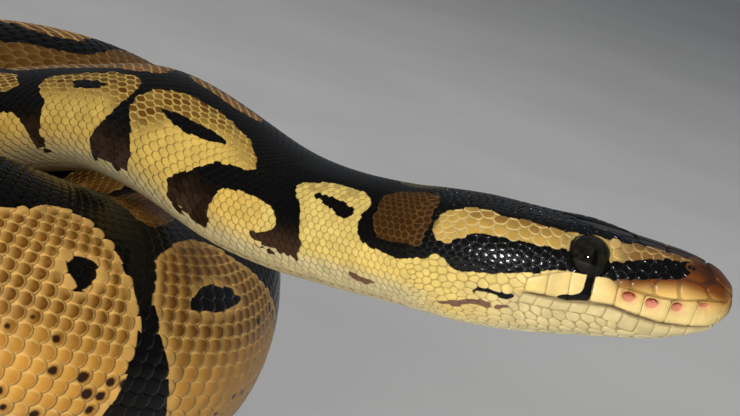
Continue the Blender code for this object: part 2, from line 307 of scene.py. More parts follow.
LATTICE_SPACING = 0.25
LATTICE_S = np.arange(40.0, LENGTH - 1.0, LATTICE_SPACING)
INNER_SHORTENING = 0.85 * np.interp(LATTICE_S, STATIONS, BEND) * smooth_table(SECTIONS, 1, LATTICE_S)
LATTICE_STEP = look_up(ROWS, LATTICE_S) / (1 + INNER_SHORTENING)
LATTICE_STEP *= 1 + 0.4 * window(LATTICE_S, 490, 510, 570, 590)
LATTICE_STEP += (look_up(STRETCHED, LATTICE_S) - LATTICE_STEP) * window(LATTICE_S, 365, 380, 460, 480)
LATTICE_COUNT = running_sum(LATTICE_SPACING / LATTICE_STEP)[:-1]


# ---------------------------------------------------------------- markings

def srgb(*rgb):
    c = np.array(rgb, float) / 255
    return np.where(c <= 0.04045, c / 12.92, ((c + 0.055) / 1.055) ** 2.4)


def mix(a, b, share):
    share = np.asarray(share, float)[..., None]
    return a * (1 - share) + b * share


# colours of the light scales' middles and rims, of the dark scales, and of the head's parts; the back coil's
# shaded browns, the mouth's groove colour, the pits' dark red and the nostril's black are painted shade, and
# the crown's blue is a painted sheen
GOLD, GOLD_RIM, ORANGE, BROWN = srgb(204, 148, 60), srgb(228, 182, 102), srgb(170, 104, 36), srgb(94, 53, 6)
NECK_GOLD, PALE_GOLD, CREAM = srgb(230, 193, 98), srgb(226, 198, 112), srgb(212, 196, 148)
TAN, TAN_RIM, SHADED, SHADED_RIM = srgb(140, 96, 40), srgb(206, 164, 102), srgb(86, 56, 20), srgb(118, 86, 42)
DARK, FADED, FAINT, FLECK = srgb(9, 8, 7), srgb(60, 44, 32), srgb(120, 88, 70), srgb(46, 26, 12)
LIP, CHIN, OCHRE = srgb(242, 214, 142), srgb(222, 210, 160), srgb(222, 174, 88)
SNOUT, SNOUT_TOP, SNOUT_BACK = srgb(122, 66, 24), srgb(106, 58, 22), srgb(60, 34, 18)
SNOUT_FRONT, SNOUT_DARK = srgb(176, 132, 74), srgb(48, 28, 18)
CROWN, CROWN_PAINTED_SHEEN, OLIVE, OLIVE_RIM = srgb(21, 20, 16), srgb(17, 22, 28), srgb(74, 66, 36), srgb(96, 86, 52)
TEMPLE_GOLD, TEMPLE_BROWN, TEMPLE_RIM = srgb(196, 158, 78), srgb(128, 84, 36), srgb(220, 194, 126)
CANTHUS_BROWN, CANTHUS_GOLD, CANTHUS_RIM = srgb(128, 92, 46), srgb(198, 170, 104), srgb(182, 148, 94)
NAPE, NAPE_RIM, MOUTH_GROOVE_SHADE = srgb(60, 38, 13), srgb(104, 72, 30), srgb(84, 52, 36)
PIT_PINK, PIT_SHADOW_RED, NOSTRIL_SHADE = srgb(234, 152, 120), srgb(126, 34, 22), srgb(6, 5, 5)

FAR_OUT = -50.0                # depth in mm of a place that is nowhere near an outline

# turn where the cream belly starts, and turn down to which gold scales have brown middles, along s
BELLY_EDGE = [(60, 0.685), (150, 0.69), (260, 0.80), (1100, 0.80), (1200, 0.7)]
BROWN_TO = [(60, 0.33), (88, 0.33), (98, 0.23), (108, 0.24), (117, 0.31), (123, 0.43), (131, 0.44),
            (136, 0.36), (150, 0.38), (165, 0.38), (330, 0.43)]
# share of the coils' gold scales that have a dark fleck, by turn
FRECKLED_SHARE = [(0.36, 0.03), (0.48, 0.14), (0.62, 0.26)]

# Outlines as (s, turn without sign), clockwise or not, smoothed between their points. FACE is the light side
# of the head and neck, TEMPLE and CANTHUS the light bands behind and before the eye, NAPE_PATCH is brown, and
# the others are dark marks on the face.
FACE = [
    (-3, 1.1), (-3, -0.1), (5, -0.1), (8, 0.02), (9, 0.14), (8.4, 0.24), (9.7, 0.31), (13, 0.345),
    (17, 0.378), (20, 0.4), (24, 0.408), (27, 0.415), (30, 0.41), (33, 0.44), (37, 0.465), (41, 0.49),
    (45, 0.505), (46.5, 0.475), (48, 0.46), (50, 0.495), (54, 0.52), (58, 0.505), (60, 0.48), (61.3, 0.4),
    (60.3, 0.3), (62, 0.24), (66, 0.215), (71, 0.225), (75, 0.265), (76.8, 0.3), (75, 0.36), (73, 0.42),
    (72.5, 0.5), (72, 0.6), (73, 0.68), (74, 1.1),
]
TEMPLE = [
    (21, 0.31), (22.5, 0.19), (26.5, 0.185), (30, 0.205), (33, 0.2), (37, 0.195), (40.5, 0.2),
    (42.5, 0.178), (46.5, 0.215), (48.5, 0.26), (49.4, 0.32), (49, 0.38), (48, 0.405), (46.3, 0.395),
    (45, 0.36), (43, 0.33), (38, 0.325), (33, 0.32), (29, 0.315),
]
CANTHUS = [
    (20.8, 0.31), (18.5, 0.27), (16, 0.235), (13, 0.205), (10, 0.18), (9.2, 0.15), (11, 0.11), (15, 0.11),
    (18, 0.14), (21, 0.165), (24, 0.18), (23, 0.25),
]
FACE_SPOT = [(62.5, 0.365), (64, 0.4), (66, 0.39), (68, 0.355), (71.5, 0.33), (71, 0.305), (67, 0.31),
             (64, 0.33)]
STRIPE = [
    (8.6, 0.24), (10, 0.2), (13, 0.2), (16, 0.235), (18.5, 0.27), (20.5, 0.32), (22.5, 0.33), (24, 0.40),
    (21, 0.405), (17, 0.378), (13, 0.345), (9.7, 0.31),
]
EYE_BAR = [
    (24.2, 0.40), (25.3, 0.41), (25.7, 0.48), (26.6, 0.515), (29.3, 0.53), (29.5, 0.55), (28, 0.557),
    (26, 0.552), (24.6, 0.54), (24.2, 0.48),
]
NAPE_PATCH = [
    (50.4, 0.43), (52, 0.452), (57, 0.447), (58.5, 0.4), (59, 0.3), (58.8, 0.2), (55, 0.14), (50.6, 0.15),
    (50, 0.3),
]
HEAD_MARKS = [
    [(36.3, 0.565), (37.5, 0.585), (41, 0.575), (42.5, 0.585), (41.8, 0.552), (39, 0.555)],
    [(36.5, 0.63), (38.5, 0.645), (38.6, 0.625), (37, 0.622)],
    [(39.3, 0.63), (42, 0.615), (44.5, 0.65), (47.3, 0.68), (47.2, 0.7), (45, 0.685), (42.5, 0.65),
     (40, 0.645)],
    [(57.5, 0.69), (60, 0.675), (62.3, 0.67), (62, 0.71), (59.5, 0.715)],
]

# lower edge of the dark stripe from the nostril to the eye
STRIPE_LOW = [(2, 0.37), (9.5, 0.32), (13, 0.345), (17, 0.378), (20, 0.40), (22, 0.405)]

# Blotches that a viewer in front sees: side, outline, dark spots inside it.
BLOTCHES = [
    (-1, [(78, 0.5), (80, 0.455), (86, 0.44), (92, 0.45), (95, 0.5), (96, 0.56), (97, 0.66), (98, 0.85),
          (84, 0.85), (83.5, 0.68), (84.5, 0.62), (82, 0.6), (78.5, 0.56)], []),
    (-1, [(88, 0.31), (89, 0.28), (93, 0.215), (98, 0.17), (106, 0.14), (113, 0.135), (120, 0.16),
          (126, 0.21), (129, 0.28), (129.5, 0.36), (127, 0.43), (125, 0.5), (124, 0.57), (125, 0.64),
          (126, 0.85), (111, 0.85), (110.5, 0.6), (110, 0.55), (106, 0.49), (102, 0.42), (100, 0.38),
          (96, 0.35), (91, 0.335)],
         [[(100.5, 0.265), (104, 0.295), (109, 0.32), (115, 0.335), (120, 0.315), (121.7, 0.295),
           (118, 0.275), (112, 0.255), (106, 0.25), (102, 0.25)]]),
    (-1, [(133, 0.22), (131, 0.28), (132.3, 0.38), (134, 0.44), (136, 0.5), (139, 0.58), (139.5, 0.66),
          (141, 0.85), (158, 0.85), (159.3, 0.68), (159.5, 0.6), (159, 0.5), (158.5, 0.44), (162, 0.38),
          (163.6, 0.32), (162, 0.27), (155, 0.25), (146, 0.23), (138, 0.213)],
         [[(140, 0.31), (143, 0.34), (148, 0.35), (151, 0.34), (152.5, 0.31), (149, 0.298), (146, 0.295),
           (141, 0.3)]]),
    (-1, [(164, 0.7), (165, 0.6), (168, 0.52), (173, 0.475), (180, 0.5), (184, 0.6), (184, 0.85),
          (165, 0.85)], []),
    (-1, [(171, 0.33), (174, 0.25), (178, 0.19), (186, 0.16), (194, 0.2), (196, 0.32), (188, 0.37),
          (178, 0.36)], []),
    (-1, [(514, 0.35), (516, 0.12), (522, -0.06), (531, -0.09), (535, 0), (534.5, 0.06), (535.5, 0.11),
          (539, 0.14), (545, 0.147), (551, 0.163), (556, 0.18), (562, 0.2), (567, 0.3), (568, 0.5),
          (566, 0.7), (560, 0.9), (525, 0.9), (516, 0.6)], []),
    (1, [(378, 0.3), (382, 0.22), (390, 0.19), (398, 0.185), (401, 0.165), (404, 0.137), (409, 0.14),
         (413, 0.185), (416, 0.27), (418, 0.37), (418.5, 0.47), (418, 0.6), (416, 0.72), (412, 0.9),
         (392, 0.9), (382, 0.7), (378, 0.5)],
        [[(406.8, 0.262), (408.3, 0.25), (410.5, 0.255), (411.5, 0.28), (410.3, 0.31), (409, 0.325),
          (408, 0.31), (407, 0.285)]]),
    (1, [(420.3, 0.33), (420.8, 0.26), (422.5, 0.205), (427, 0.17), (433, 0.15), (440, 0.145),
         (446, 0.165), (451, 0.2), (458, 0.25), (466, 0.33), (470, 0.42), (472, 0.55), (472, 0.7),
         (468, 0.9), (436, 0.9), (431, 0.68), (429, 0.57), (426, 0.48), (423, 0.4)],
        [[(429, 0.31), (431, 0.28), (435, 0.257), (440, 0.27), (444, 0.285), (446, 0.305), (440, 0.322),
          (434, 0.328), (430, 0.325)]]),
]
# Gold marks on the back line, with signed turns.
BACK_MARKS = [
    [(421, 0.02), (423, 0.095), (428, 0.11), (434, 0.085), (442, 0.06), (452, 0.05), (460, 0),
     (462, -0.1), (450, -0.13), (436, -0.1), (425, -0.06)],
    [(542, -0.06), (546, -0.075), (552, -0.06), (560, 0), (556, 0.1), (545, 0.1), (541, 0)],
    [(105, 0.0), (110, -0.035), (118, -0.04), (126, -0.03), (130, 0.02), (118, 0.08), (108, 0.06)],
    [(132, -0.08), (137, -0.165), (150, -0.175), (165, -0.165), (178, -0.15), (184, -0.05), (180, 0.08),
     (160, 0.13), (140, 0.1)],
    [(51, 0), (53, -0.06), (57, -0.075), (60, -0.03), (60, 0.03), (57, 0.075), (53, 0.06)],
]


def outline(points, steps=6):
    """Closed smooth curve through the points (Catmull-Rom)."""
    p = np.array(points, float)
    a, b, c, d = np.roll(p, 1, 0), p, np.roll(p, -1, 0), np.roll(p, -2, 0)
    out = [2 * b + (c - a) * t + (2 * a - 5 * b + 4 * c - d) * t ** 2 + (3 * b - a - 3 * c + d) * t ** 3
           for t in np.arange(steps) / steps]
    return 0.5 * np.stack(out, 1).reshape(-1, 2)


def depth_in(curve, s, turn):
    """How many mm each place lies inside a closed curve of (s, turn); minus outside it."""
    girth = half_girth(curve[:, 0].mean())
    out = np.full(len(s), FAR_OUT)
    low, high = curve.min(0) - [4, 4 / girth], curve.max(0) + [4, 4 / girth]
    near = (s > low[0]) & (s < high[0]) & (turn > low[1]) & (turn < high[1])
    pick = np.nonzero(near)[0]
    x0, y0 = curve[:, 0], curve[:, 1] * girth
    x1, y1 = np.roll(x0, -1), np.roll(y0, -1)
    dx, dy = x1 - x0, y1 - y0
    for part in np.array_split(pick, len(pick) // 20000 + 1):
        px, py = s[part][:, None], turn[part][:, None] * girth
        f = np.clip(((px - x0) * dx + (py - y0) * dy) / (dx ** 2 + dy ** 2 + 1e-9), 0, 1)
        distance = np.sqrt(((px - x0 - f * dx) ** 2 + (py - y0 - f * dy) ** 2).min(1))
        crossing = ((y0 > py) != (y1 > py)) & (px < dx * (py - y0) / (dy + 1e-12) + x0)
        out[part] = np.where(crossing.sum(1) % 2 == 1, distance, -distance)
    return out


def depth_of(points, s, turn):
    return depth_in(outline(points), s, turn)


def guessed_blotches(side, start, end, seed):
    """Blotches of the species' pattern for the stretches that no one in front sees."""
    rng = np.random.default_rng(seed)
    s, found = start, []
    while s < end:
        girth = half_girth(s)
        long = np.interp(girth, [10, 45, 88], [11, 24, 40]) * rng.uniform(0.8, 1.15)
        if s + long > end:
            break
        top, waist, lean = rng.uniform(0.13, 0.19), rng.uniform(0.36, 0.44), rng.uniform(-0.1, 0.1) * long
        ring = [(0.02, 0.30), (0.16, top + 0.03), (0.5, top), (0.84, top + 0.03), (0.99, 0.31), (0.95, 0.45),
                (0.84, 0.62), (0.8, 0.9), (0.22, 0.9), (0.17, 0.64), (0.06, 0.46)]
        points = [(s + long * f + lean * t, t * (1 + rng.uniform(-0.05, 0.05))) for f, t in ring]
        middle, size = s + long * rng.uniform(0.4, 0.62), long * rng.uniform(0.09, 0.2)
        angles = np.arange(8) * np.pi / 4
        spot = [(middle + size * np.cos(a), waist - 0.1 + 0.032 * np.sin(a)) for a in angles]
        found.append((side, points, [spot] if rng.random() < 0.8 else []))
        s += long + np.interp(girth, [10, 45, 88], [4, 7, 10]) * rng.uniform(0.8, 1.3)
    return found


def guessed_back_marks(start, end, seed):
    rng = np.random.default_rng(seed)
    s, found = start, []
    ring = [(0, 0), (0.15, 0.8), (0.5, 1), (0.85, 0.75), (1, 0), (0.85, -0.8), (0.5, -1), (0.15, -0.75)]
    while s < end - 12:
        long = rng.uniform(14, 46) * np.interp(half_girth(s), [10, 88], [0.35, 1])
        wide = rng.uniform(0.06, 0.10)
        found.append([(s + long * f, wide * t * rng.uniform(0.8, 1.2)) for f, t in ring])
        s += long + rng.uniform(5, 12)
    return found


for hidden in [(-1, 203, 508, 11), (-1, 578, 1225, 12), (1, 82, 370, 13), (1, 482, 1225, 14)]:
    BLOTCHES += guessed_blotches(*hidden)
for hidden in [(196, 412, 15), (470, 520, 16), (570, 1230, 17)]:
    BACK_MARKS += guessed_back_marks(*hidden)


def paint(look, share, middle, rim=None):
    """Mixes a colour, or one for the middle and one for the rim, into the look (middle, rim) of scales."""
    return mix(look[0], middle, share), mix(look[1], middle if rim is None else rim, share)


def markings(s, turn, chance, crisp=1.0, lead=0.0):
    """Colours of scales at these places, as a dictionary of point attributes.

    depth is how many mm the place lies inside the light markings (minus in the dark ones). Light
    scales have a colour for the middle and one for the rim. chance holds two random numbers (0 to 1)
    for each scale; crisp scales the raggedness of the markings' edges; lead is how far back on its
    scale each place lies, in scale lengths.
    """
    turn = wrapped(turn)
    t, girth = np.abs(turn), half_girth(s)
    uneven, pick = chance[:, 0] - 0.5, chance[:, 1]
    below_edge = t - look_up(BELLY_EDGE, s)
    blotch = below_edge * girth + uneven * 0.05 * girth * crisp
    for side, points, spots in BLOTCHES:
        inside = depth_of(points, s, turn * side)
        for spot in spots:
            inside = np.minimum(inside, -depth_of(spot, s, turn * side))
        blotch = np.maximum(blotch, inside)
    on_back = np.full(len(s), FAR_OUT)
    for points in BACK_MARKS:
        on_back = np.maximum(on_back, depth_of(points, s, turn))
    depth = np.maximum(blotch, on_back)

    # gold: brown-centred scales towards the back, plain below; on the coils each scale darkens and turns
    # orange rearward and pales at its front, partly its pigment and partly painted shade at the rear and a
    # painted highlight at the front
    coils, rear, fore = smoothstep(180, 230, s), smoothstep(-0.15, 0.5, lead), smoothstep(0.12, -0.45, lead)
    patchy = np.interp(s, [180, 230], [0.25, 0.15]) * pick
    brown = smoothstep(0.10, -0.08, t - look_up(BROWN_TO, s)) * (1 - patchy)
    brown *= np.interp(s, [60, 95, 110], [0.6, 0.8, 1.0])
    brown = np.clip(brown * (1 + coils * (0.45 * rear - 0.22)), 0, 1)
    gold = mix(GOLD, NECK_GOLD, np.interp(s, [150, 300], [1, 0]))
    gold = mix(gold, PALE_GOLD, np.interp(s, [60, 90], [1, 0]))
    middle = mix(gold, BROWN, brown)
    middle = mix(middle, ORANGE, coils * rear * 0.5 * (1 - brown))
    middle = mix(middle, GOLD_RIM, coils * fore * 0.55)
    pale = mix(mix(gold, PALE_GOLD, 0.5), GOLD_RIM, coils)
    # painted shadow: on the coils the rim is darker along each scale's rear edge
    rim = mix(mix(gold, pale, np.maximum(brown, coils)), middle * 0.85, coils * rear * 0.4)
    low = smoothstep(0.55, 0.75, t)
    middle = mix(middle, CREAM, low * np.interp(s, [60, 200, 320], [0.9, 0.8, 0.35]))
    look = middle, mix(rim, CREAM, low * 0.7)

    # painted shade: the stretch of the back coil from s 500 to 580, which lies in shade, is painted darker
    # brown
    shaded = window(s, 500, 512, 568, 580)
    look = paint(look, 0.85 * shaded, SHADED, SHADED_RIM)
    look = paint(look, 0.6 * (1 - shaded) * smoothstep(2.0, 0.4, blotch) * (s > 190), GOLD_RIM)
    back = smoothstep(-1.0, 0.5, on_back - np.maximum(blotch, -5))
    look = paint(look, back, mix(TAN, BROWN, pick), TAN_RIM)
    middle, rim = paint(look, smoothstep(-0.02, 0.03, below_edge), CREAM)
    middle[(s > 200) & (t > 0.8) & (pick > 0.93)] = FADED
    dark = mix(DARK, FADED * (0.6 + 0.8 * chance[:, :1]), smoothstep(-0.25, -0.04, below_edge))
    freckled = (t > 0.36) & (t < 0.8) & (s > 300) & (pick < look_up(FRECKLED_SHARE, t))

    head = s < 82
    if head.any():
        found = head_markings(s[head], t[head], chance[head], depth[head])
        middle[head], rim[head], dark[head], depth[head] = found
    ragged = uneven * 0.8 * crisp * np.interp(s, [40, 400], [0.4, 1.3])
    return {"middle": middle, "rim": rim, "dark": dark, "depth": depth + ragged,
            "fleck": freckled * (0.45 + 0.55 * chance[:, 0])}


def head_markings(s, t, chance, depth):
    """Colours and depths of the head and the nape; t is the turn without sign."""
    pick = chance[:, 1]
    lip, below_stripe = ((t - edge) * half_girth(s) for edge in (mouth_turn(s), look_up(STRIPE_LOW, s)))
    face, temple, canthus, nape, stripe = (
        depth_of(points, s, t) for points in (FACE, TEMPLE, CANTHUS, NAPE_PATCH, STRIPE))

    light = mix(LIP, PALE_GOLD, smoothstep(20, 50, s))
    light = mix(light, CREAM, smoothstep(-0.5, 0.5, lip) * smoothstep(48, 34, s) * 0.7)
    light = mix(light, CHIN, smoothstep(0.72, 0.86, t))
    light = mix(light, CREAM, smoothstep(0.60, 0.70, t) * smoothstep(44, 54, s))
    light = mix(light, OCHRE, smoothstep(5.2, 2.0, below_stripe) * smoothstep(24, 18, s) * 0.9)
    light = mix(light, SNOUT, smoothstep(3.0, 0.2, below_stripe) * smoothstep(23, 19, s))
    tip = smoothstep(11, 5, s) * smoothstep(0.40, 0.24, t + 0.02 * (s - 5))
    light = mix(light, mix(SNOUT_TOP, SNOUT_BACK, smoothstep(2, 6, s)), tip)
    light = mix(light, SNOUT_FRONT, smoothstep(2.6, 0.6, s) * 0.8 * (t < 0.5) * smoothstep(0.15, 0.3, t))
    closed = window(s, 2, 3, MOUTH_CORNER - 2, MOUTH_CORNER + 1)
    # painted shade: a dark line along the groove of the closed mouth
    light = mix(light, MOUTH_GROOVE_SHADE, 0.85 * np.exp(-(lip / 0.35) ** 2) * closed)

    look = light, light * 0.93
    brown = smoothstep(0.30, 0.23, t) * window(s, 27, 30, 44, 47) * (0.25 + 0.6 * pick)
    look = paint(look, smoothstep(-2.0, -0.5, temple), mix(TEMPLE_GOLD, TEMPLE_BROWN, brown), TEMPLE_RIM)
    near = smoothstep(-1.5, -0.3, canthus) * (temple < 0)
    look = paint(look, near, mix(CANTHUS_BROWN, CANTHUS_GOLD, smoothstep(18, 23, s)), CANTHUS_RIM)
    light, rim = paint(look, smoothstep(-1.5, -0.3, nape) * (face < 0), NAPE, NAPE_RIM)
    back = (s > 49) & (s < 60) & (t < 0.09)
    light[back], rim[back] = OLIVE, OLIVE_RIM
    light = mix(light, BROWN, 0.4 * ((face > 0) & (s > 60) & (t < 0.3) & (pick > 0.55)))

    depth = np.maximum(np.where(s < 50, -9.0, depth), face)
    depth = np.minimum(depth, np.where(s < 60, -stripe, 50.0))
    depth = np.maximum.reduce([depth, temple, canthus, nape])
    marks = [depth_of(points, s, t) for points in HEAD_MARKS + [EYE_BAR, FACE_SPOT]]
    depth = np.minimum(depth, -np.maximum.reduce(marks))
    # painted sheen: the crown's black is tinted blue in waves along s
    crown = mix(CROWN, CROWN_PAINTED_SHEEN, 0.5 + 0.5 * np.sin(0.9 * s + 3 * chance[:, 0]))
    dark = mix(DARK, crown, smoothstep(0.20, 0.15, t) * smoothstep(9, 20, s))
    dark = mix(dark, SNOUT_DARK, smoothstep(18, 8, s) * smoothstep(0.20, 0.08, t))
    dark = mix(dark, FAINT, smoothstep(0.59, 0.62, t) * (s < 66))
    dark = mix(dark, FADED, smoothstep(0.50, 0.64, t) * (s > 66))
    return light, rim, dark, depth


# ---------------------------------------------------------------- meshes

BAKE_MARGIN = 0.01             # round the flat unwraps in OFBake


def bake_place(s, turn, first, last):
    """Place on a flat unwrap of the stretch of skin from first to last."""
    flat_place = np.stack([(s - first) / (last - first), (wrapped(turn) + 1) / 2], -1)
    return BAKE_MARGIN + (1 - 2 * BAKE_MARGIN) * flat_place


def grid_quads(rows, columns, closed=False):
    """Faces of a grid of points, row by row; closed joins each row's ends."""
    i, j = np.meshgrid(np.arange(rows - 1), np.arange(columns if closed else columns - 1), indexing="ij")
    a, b = i * columns + j, i * columns + (j + 1) % columns
    return np.stack([a, b, b + columns, a + columns], -1).reshape(-1, 4)


def fan(start, count, tip):
    """Faces from a ring of points to one point."""
    k = np.arange(count)
    return np.stack([start + k, start + (k + 1) % count, np.full(count, tip)], 1)


def repeat_faces(faces, count, points_each):
    return (faces[None] + (np.arange(count) * points_each)[:, None, None]).reshape(-1, faces.shape[1])


def make_piece(name, points, quads, tris, colours, uv, material):
    """Mesh object from arrays; colours is {attribute: values for each point}, uv one place for each point."""
    mesh = bpy.data.meshes.new(name)
    loops = np.concatenate([quads.ravel(), tris.ravel()]).astype(np.int32)
    starts = np.concatenate([np.arange(len(quads)) * 4, len(quads) * 4 + np.arange(len(tris)) * 3])
    mesh.vertices.add(len(points))
    mesh.vertices.foreach_set("co", (points * MM).astype(np.float32).ravel())
    mesh.loops.add(len(loops))
    mesh.loops.foreach_set("vertex_index", loops)
    mesh.polygons.add(len(starts))
    mesh.polygons.foreach_set("loop_start", starts.astype(np.int32))
    mesh.polygons.foreach_set("use_smooth", np.ones(len(starts), bool))
    mesh.update(calc_edges=True)
    for key, value in colours.items():
        if value.ndim == 2:
            attribute = mesh.color_attributes.new(key, 'FLOAT_COLOR', 'POINT')
            rgba = np.ones((len(value), 4), np.float32)
            rgba[:, :3] = value
            attribute.data.foreach_set("color", rgba.ravel())
        else:
            attribute = mesh.attributes.new(key, 'FLOAT', 'POINT')
            attribute.data.foreach_set("value", value.astype(np.float32))
    layer = mesh.uv_layers.new(name="OFBake")
    layer.data.foreach_set("uv", uv[loops].astype(np.float32).ravel())
    mesh.validate()
    obj = bpy.data.objects.new(name, mesh)
    bpy.context.scene.collection.objects.link(obj)
    mesh.materials.append(material)
    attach(obj, "root")
    return obj


# ---------------------------------------------------------------- materials

class Nodes:
    """A material with small helpers that add and link its nodes."""

    def __init__(self, name):
        self.material = bpy.data.materials.new(name)
        self.material.use_nodes = True
        self.tree = self.material.node_tree
        self.shader = self.tree.nodes["Principled BSDF"]
        self.place = self.add("ShaderNodeTexCoord").outputs["Object"]

    def set(self, socket, value):
        if isinstance(value, bpy.types.NodeSocket):
            self.tree.links.new(value, socket)
        else:
            socket.default_value = value

    def add(self, kind, inputs=None, **settings):
        node = self.tree.nodes.new(kind)
        for key, value in settings.items():
            setattr(node, key, value)
        for key, value in (inputs or {}).items():
            self.set(node.inputs[key], value)
        return node

    def finish(self, **inputs):
        """Sets the shader's inputs, with spaces for underscores in their names."""
        for key, value in inputs.items():
            self.set(self.shader.inputs[key.replace("_", " ")], value)
        return self.material

    def math(self, operation, a, b=0.0, clamp=False):
        return self.add("ShaderNodeMath", {0: a, 1: b}, operation=operation, use_clamp=clamp).outputs[0]

    def span(self, value, low, high, to_low=0.0, to_high=1.0):
        inputs = {"Value": value, "From Min": low, "From Max": high, "To Min": to_low, "To Max": to_high}
        return self.add("ShaderNodeMapRange", inputs, interpolation_type='SMOOTHSTEP').outputs[0]

    def mix(self, factor, a, b, blend='MIX'):
        node = self.add("ShaderNodeMix", {0: factor}, data_type='RGBA', blend_type=blend)
        self.set(node.inputs[6], a)
        self.set(node.inputs[7], b)
        return node.outputs[2]

    def noise(self, scale, detail):
        inputs = {"Scale": scale, "Detail": detail, "Vector": self.place}
        return self.add("ShaderNodeTexNoise", inputs).outputs["Fac"]

    def clouded(self, colour, scale, dark, bright):
        """Colour times a faint cloudiness."""
        cloud = self.span(self.noise(scale, 3), 0.3, 0.7, dark, bright)
        grey = self.add("ShaderNodeCombineColor", {0: cloud, 1: cloud, 2: cloud}).outputs[0]
        return self.mix(1.0, colour, grey, 'MULTIPLY')

    def bump(self, height, strength, distance):
        inputs = {"Strength": strength, "Distance": distance, "Height": height}
        return self.add("ShaderNodeBump", inputs).outputs[0]


def marked_colour(n, rim_from, rim_to):
    """Colour from markings(): dark or light by depth, middle or rim by edge, and a spot where flecked."""
    middle, rim, dark = (n.add("ShaderNodeAttribute", attribute_name=key).outputs["Color"]
                         for key in ("middle", "rim", "dark"))
    edge, depth, fleck = (n.add("ShaderNodeAttribute", attribute_name=key).outputs["Fac"]
                          for key in ("edge", "depth", "fleck"))
    wander = n.math('MULTIPLY', n.math('SUBTRACT', n.noise(900, 2), 0.5), 0.3)
    edge = n.math('ADD', edge, wander)
    light = n.mix(n.span(edge, rim_from, rim_to), middle, rim)
    spot = n.span(n.math('SUBTRACT', edge, n.math('MULTIPLY', fleck, 0.75)), -0.3, 0.05, 1.0, 0.0)
    light = n.mix(n.math('MULTIPLY', spot, n.math('MULTIPLY', fleck, 4.0, clamp=True)), light, (*FLECK, 1))
    return n.mix(n.span(n.math('ADD', depth, wander), -0.07, 0.09), dark, light)


def scale_material(name, rim_from, rim_to, rough, gloss):
    """Keratin: coloured markings, faint cloudiness, fine wrinkles; rough and gloss set its shine."""
    n = Nodes(name)
    colour = n.clouded(marked_colour(n, rim_from, rim_to), 260, 0.88, 1.08)
    brightness = n.add("ShaderNodeRGBToBW", {0: colour}).outputs[0]
    return n.finish(Base_Color=colour, Roughness=n.span(brightness, 0.0, 0.35, rough, rough + 0.16),
                    Normal=n.bump(n.noise(2200, 3), 0.25, 0.00006), Specular_IOR_Level=gloss)


def skin_material():
    """Skin between the scales: the same markings, duller, with fine folds."""
    n = Nodes("python_skin")
    return n.finish(Base_Color=n.clouded(marked_colour(n, 0.4, 0.6), 400, 0.55, 0.75),
                    Roughness=n.span(n.noise(300, 2), 0.2, 0.8, 0.5, 0.65),
                    Normal=n.bump(n.noise(1500, 4), 0.4, 0.0001), Specular_IOR_Level=0.25)


PUPIL_HALF = 0.00050, 0.00175  # metres, across and upright


def eye_material():
    """Dark olive iris that goes black towards its bottom, a painted reflection, with an upright slit, under a
    clear glossy scale. The eye looks along its own +Z.
    """
    n = Nodes("python_eye")
    x, y, z = n.add("ShaderNodeSeparateXYZ", {0: n.place}).outputs
    narrow, tall = (n.math('POWER', n.math('DIVIDE', v, half), 2.0) for v, half in zip((x, y), PUPIL_HALF))
    pupil = n.span(n.math('ADD', n.math('ABSOLUTE', narrow), tall), 0.8, 1.25)
    radius = n.math('SQRT', n.math('ADD', n.math('MULTIPLY', x, x), n.math('MULTIPLY', y, y)))
    iris = n.mix(n.span(n.noise(700, 4), 0.35, 0.65), (*srgb(18, 17, 11), 1), (*srgb(42, 39, 24), 1))
    # painted reflection: the iris goes to near black towards its bottom, so that its olive shows only at the
    # top
    iris = n.mix(n.span(y, -0.0034, 0.0022), (*srgb(9, 9, 8), 1), iris)
    iris = n.mix(n.span(radius, 0.0030, 0.0040), iris, (*srgb(16, 17, 14), 1))
    colour = n.mix(pupil, (*srgb(4, 4, 4), 1), iris)
    return n.finish(Base_Color=colour, Roughness=0.04, Specular_IOR_Level=0.25)


def floor_material():
    n = Nodes("studio_floor")
    colour = n.mix(n.span(n.noise(6, 3), 0.3, 0.7), (0.74, 0.73, 0.71, 1), (0.80, 0.79, 0.77, 1))
    return n.finish(Base_Color=colour, Roughness=0.75)


# ---------------------------------------------------------------- skin

SKIN_CLEARANCE = 0.06          # of the skin under the scales' undersides
SKIN_COLUMNS = 128
PIT_MARGIN, PIT_SINK = 0.7, 0.9    # how far round and under each pit the skin sinks
BAKE_STRIPS = 6                # strips of the skin one over the other in OFBake


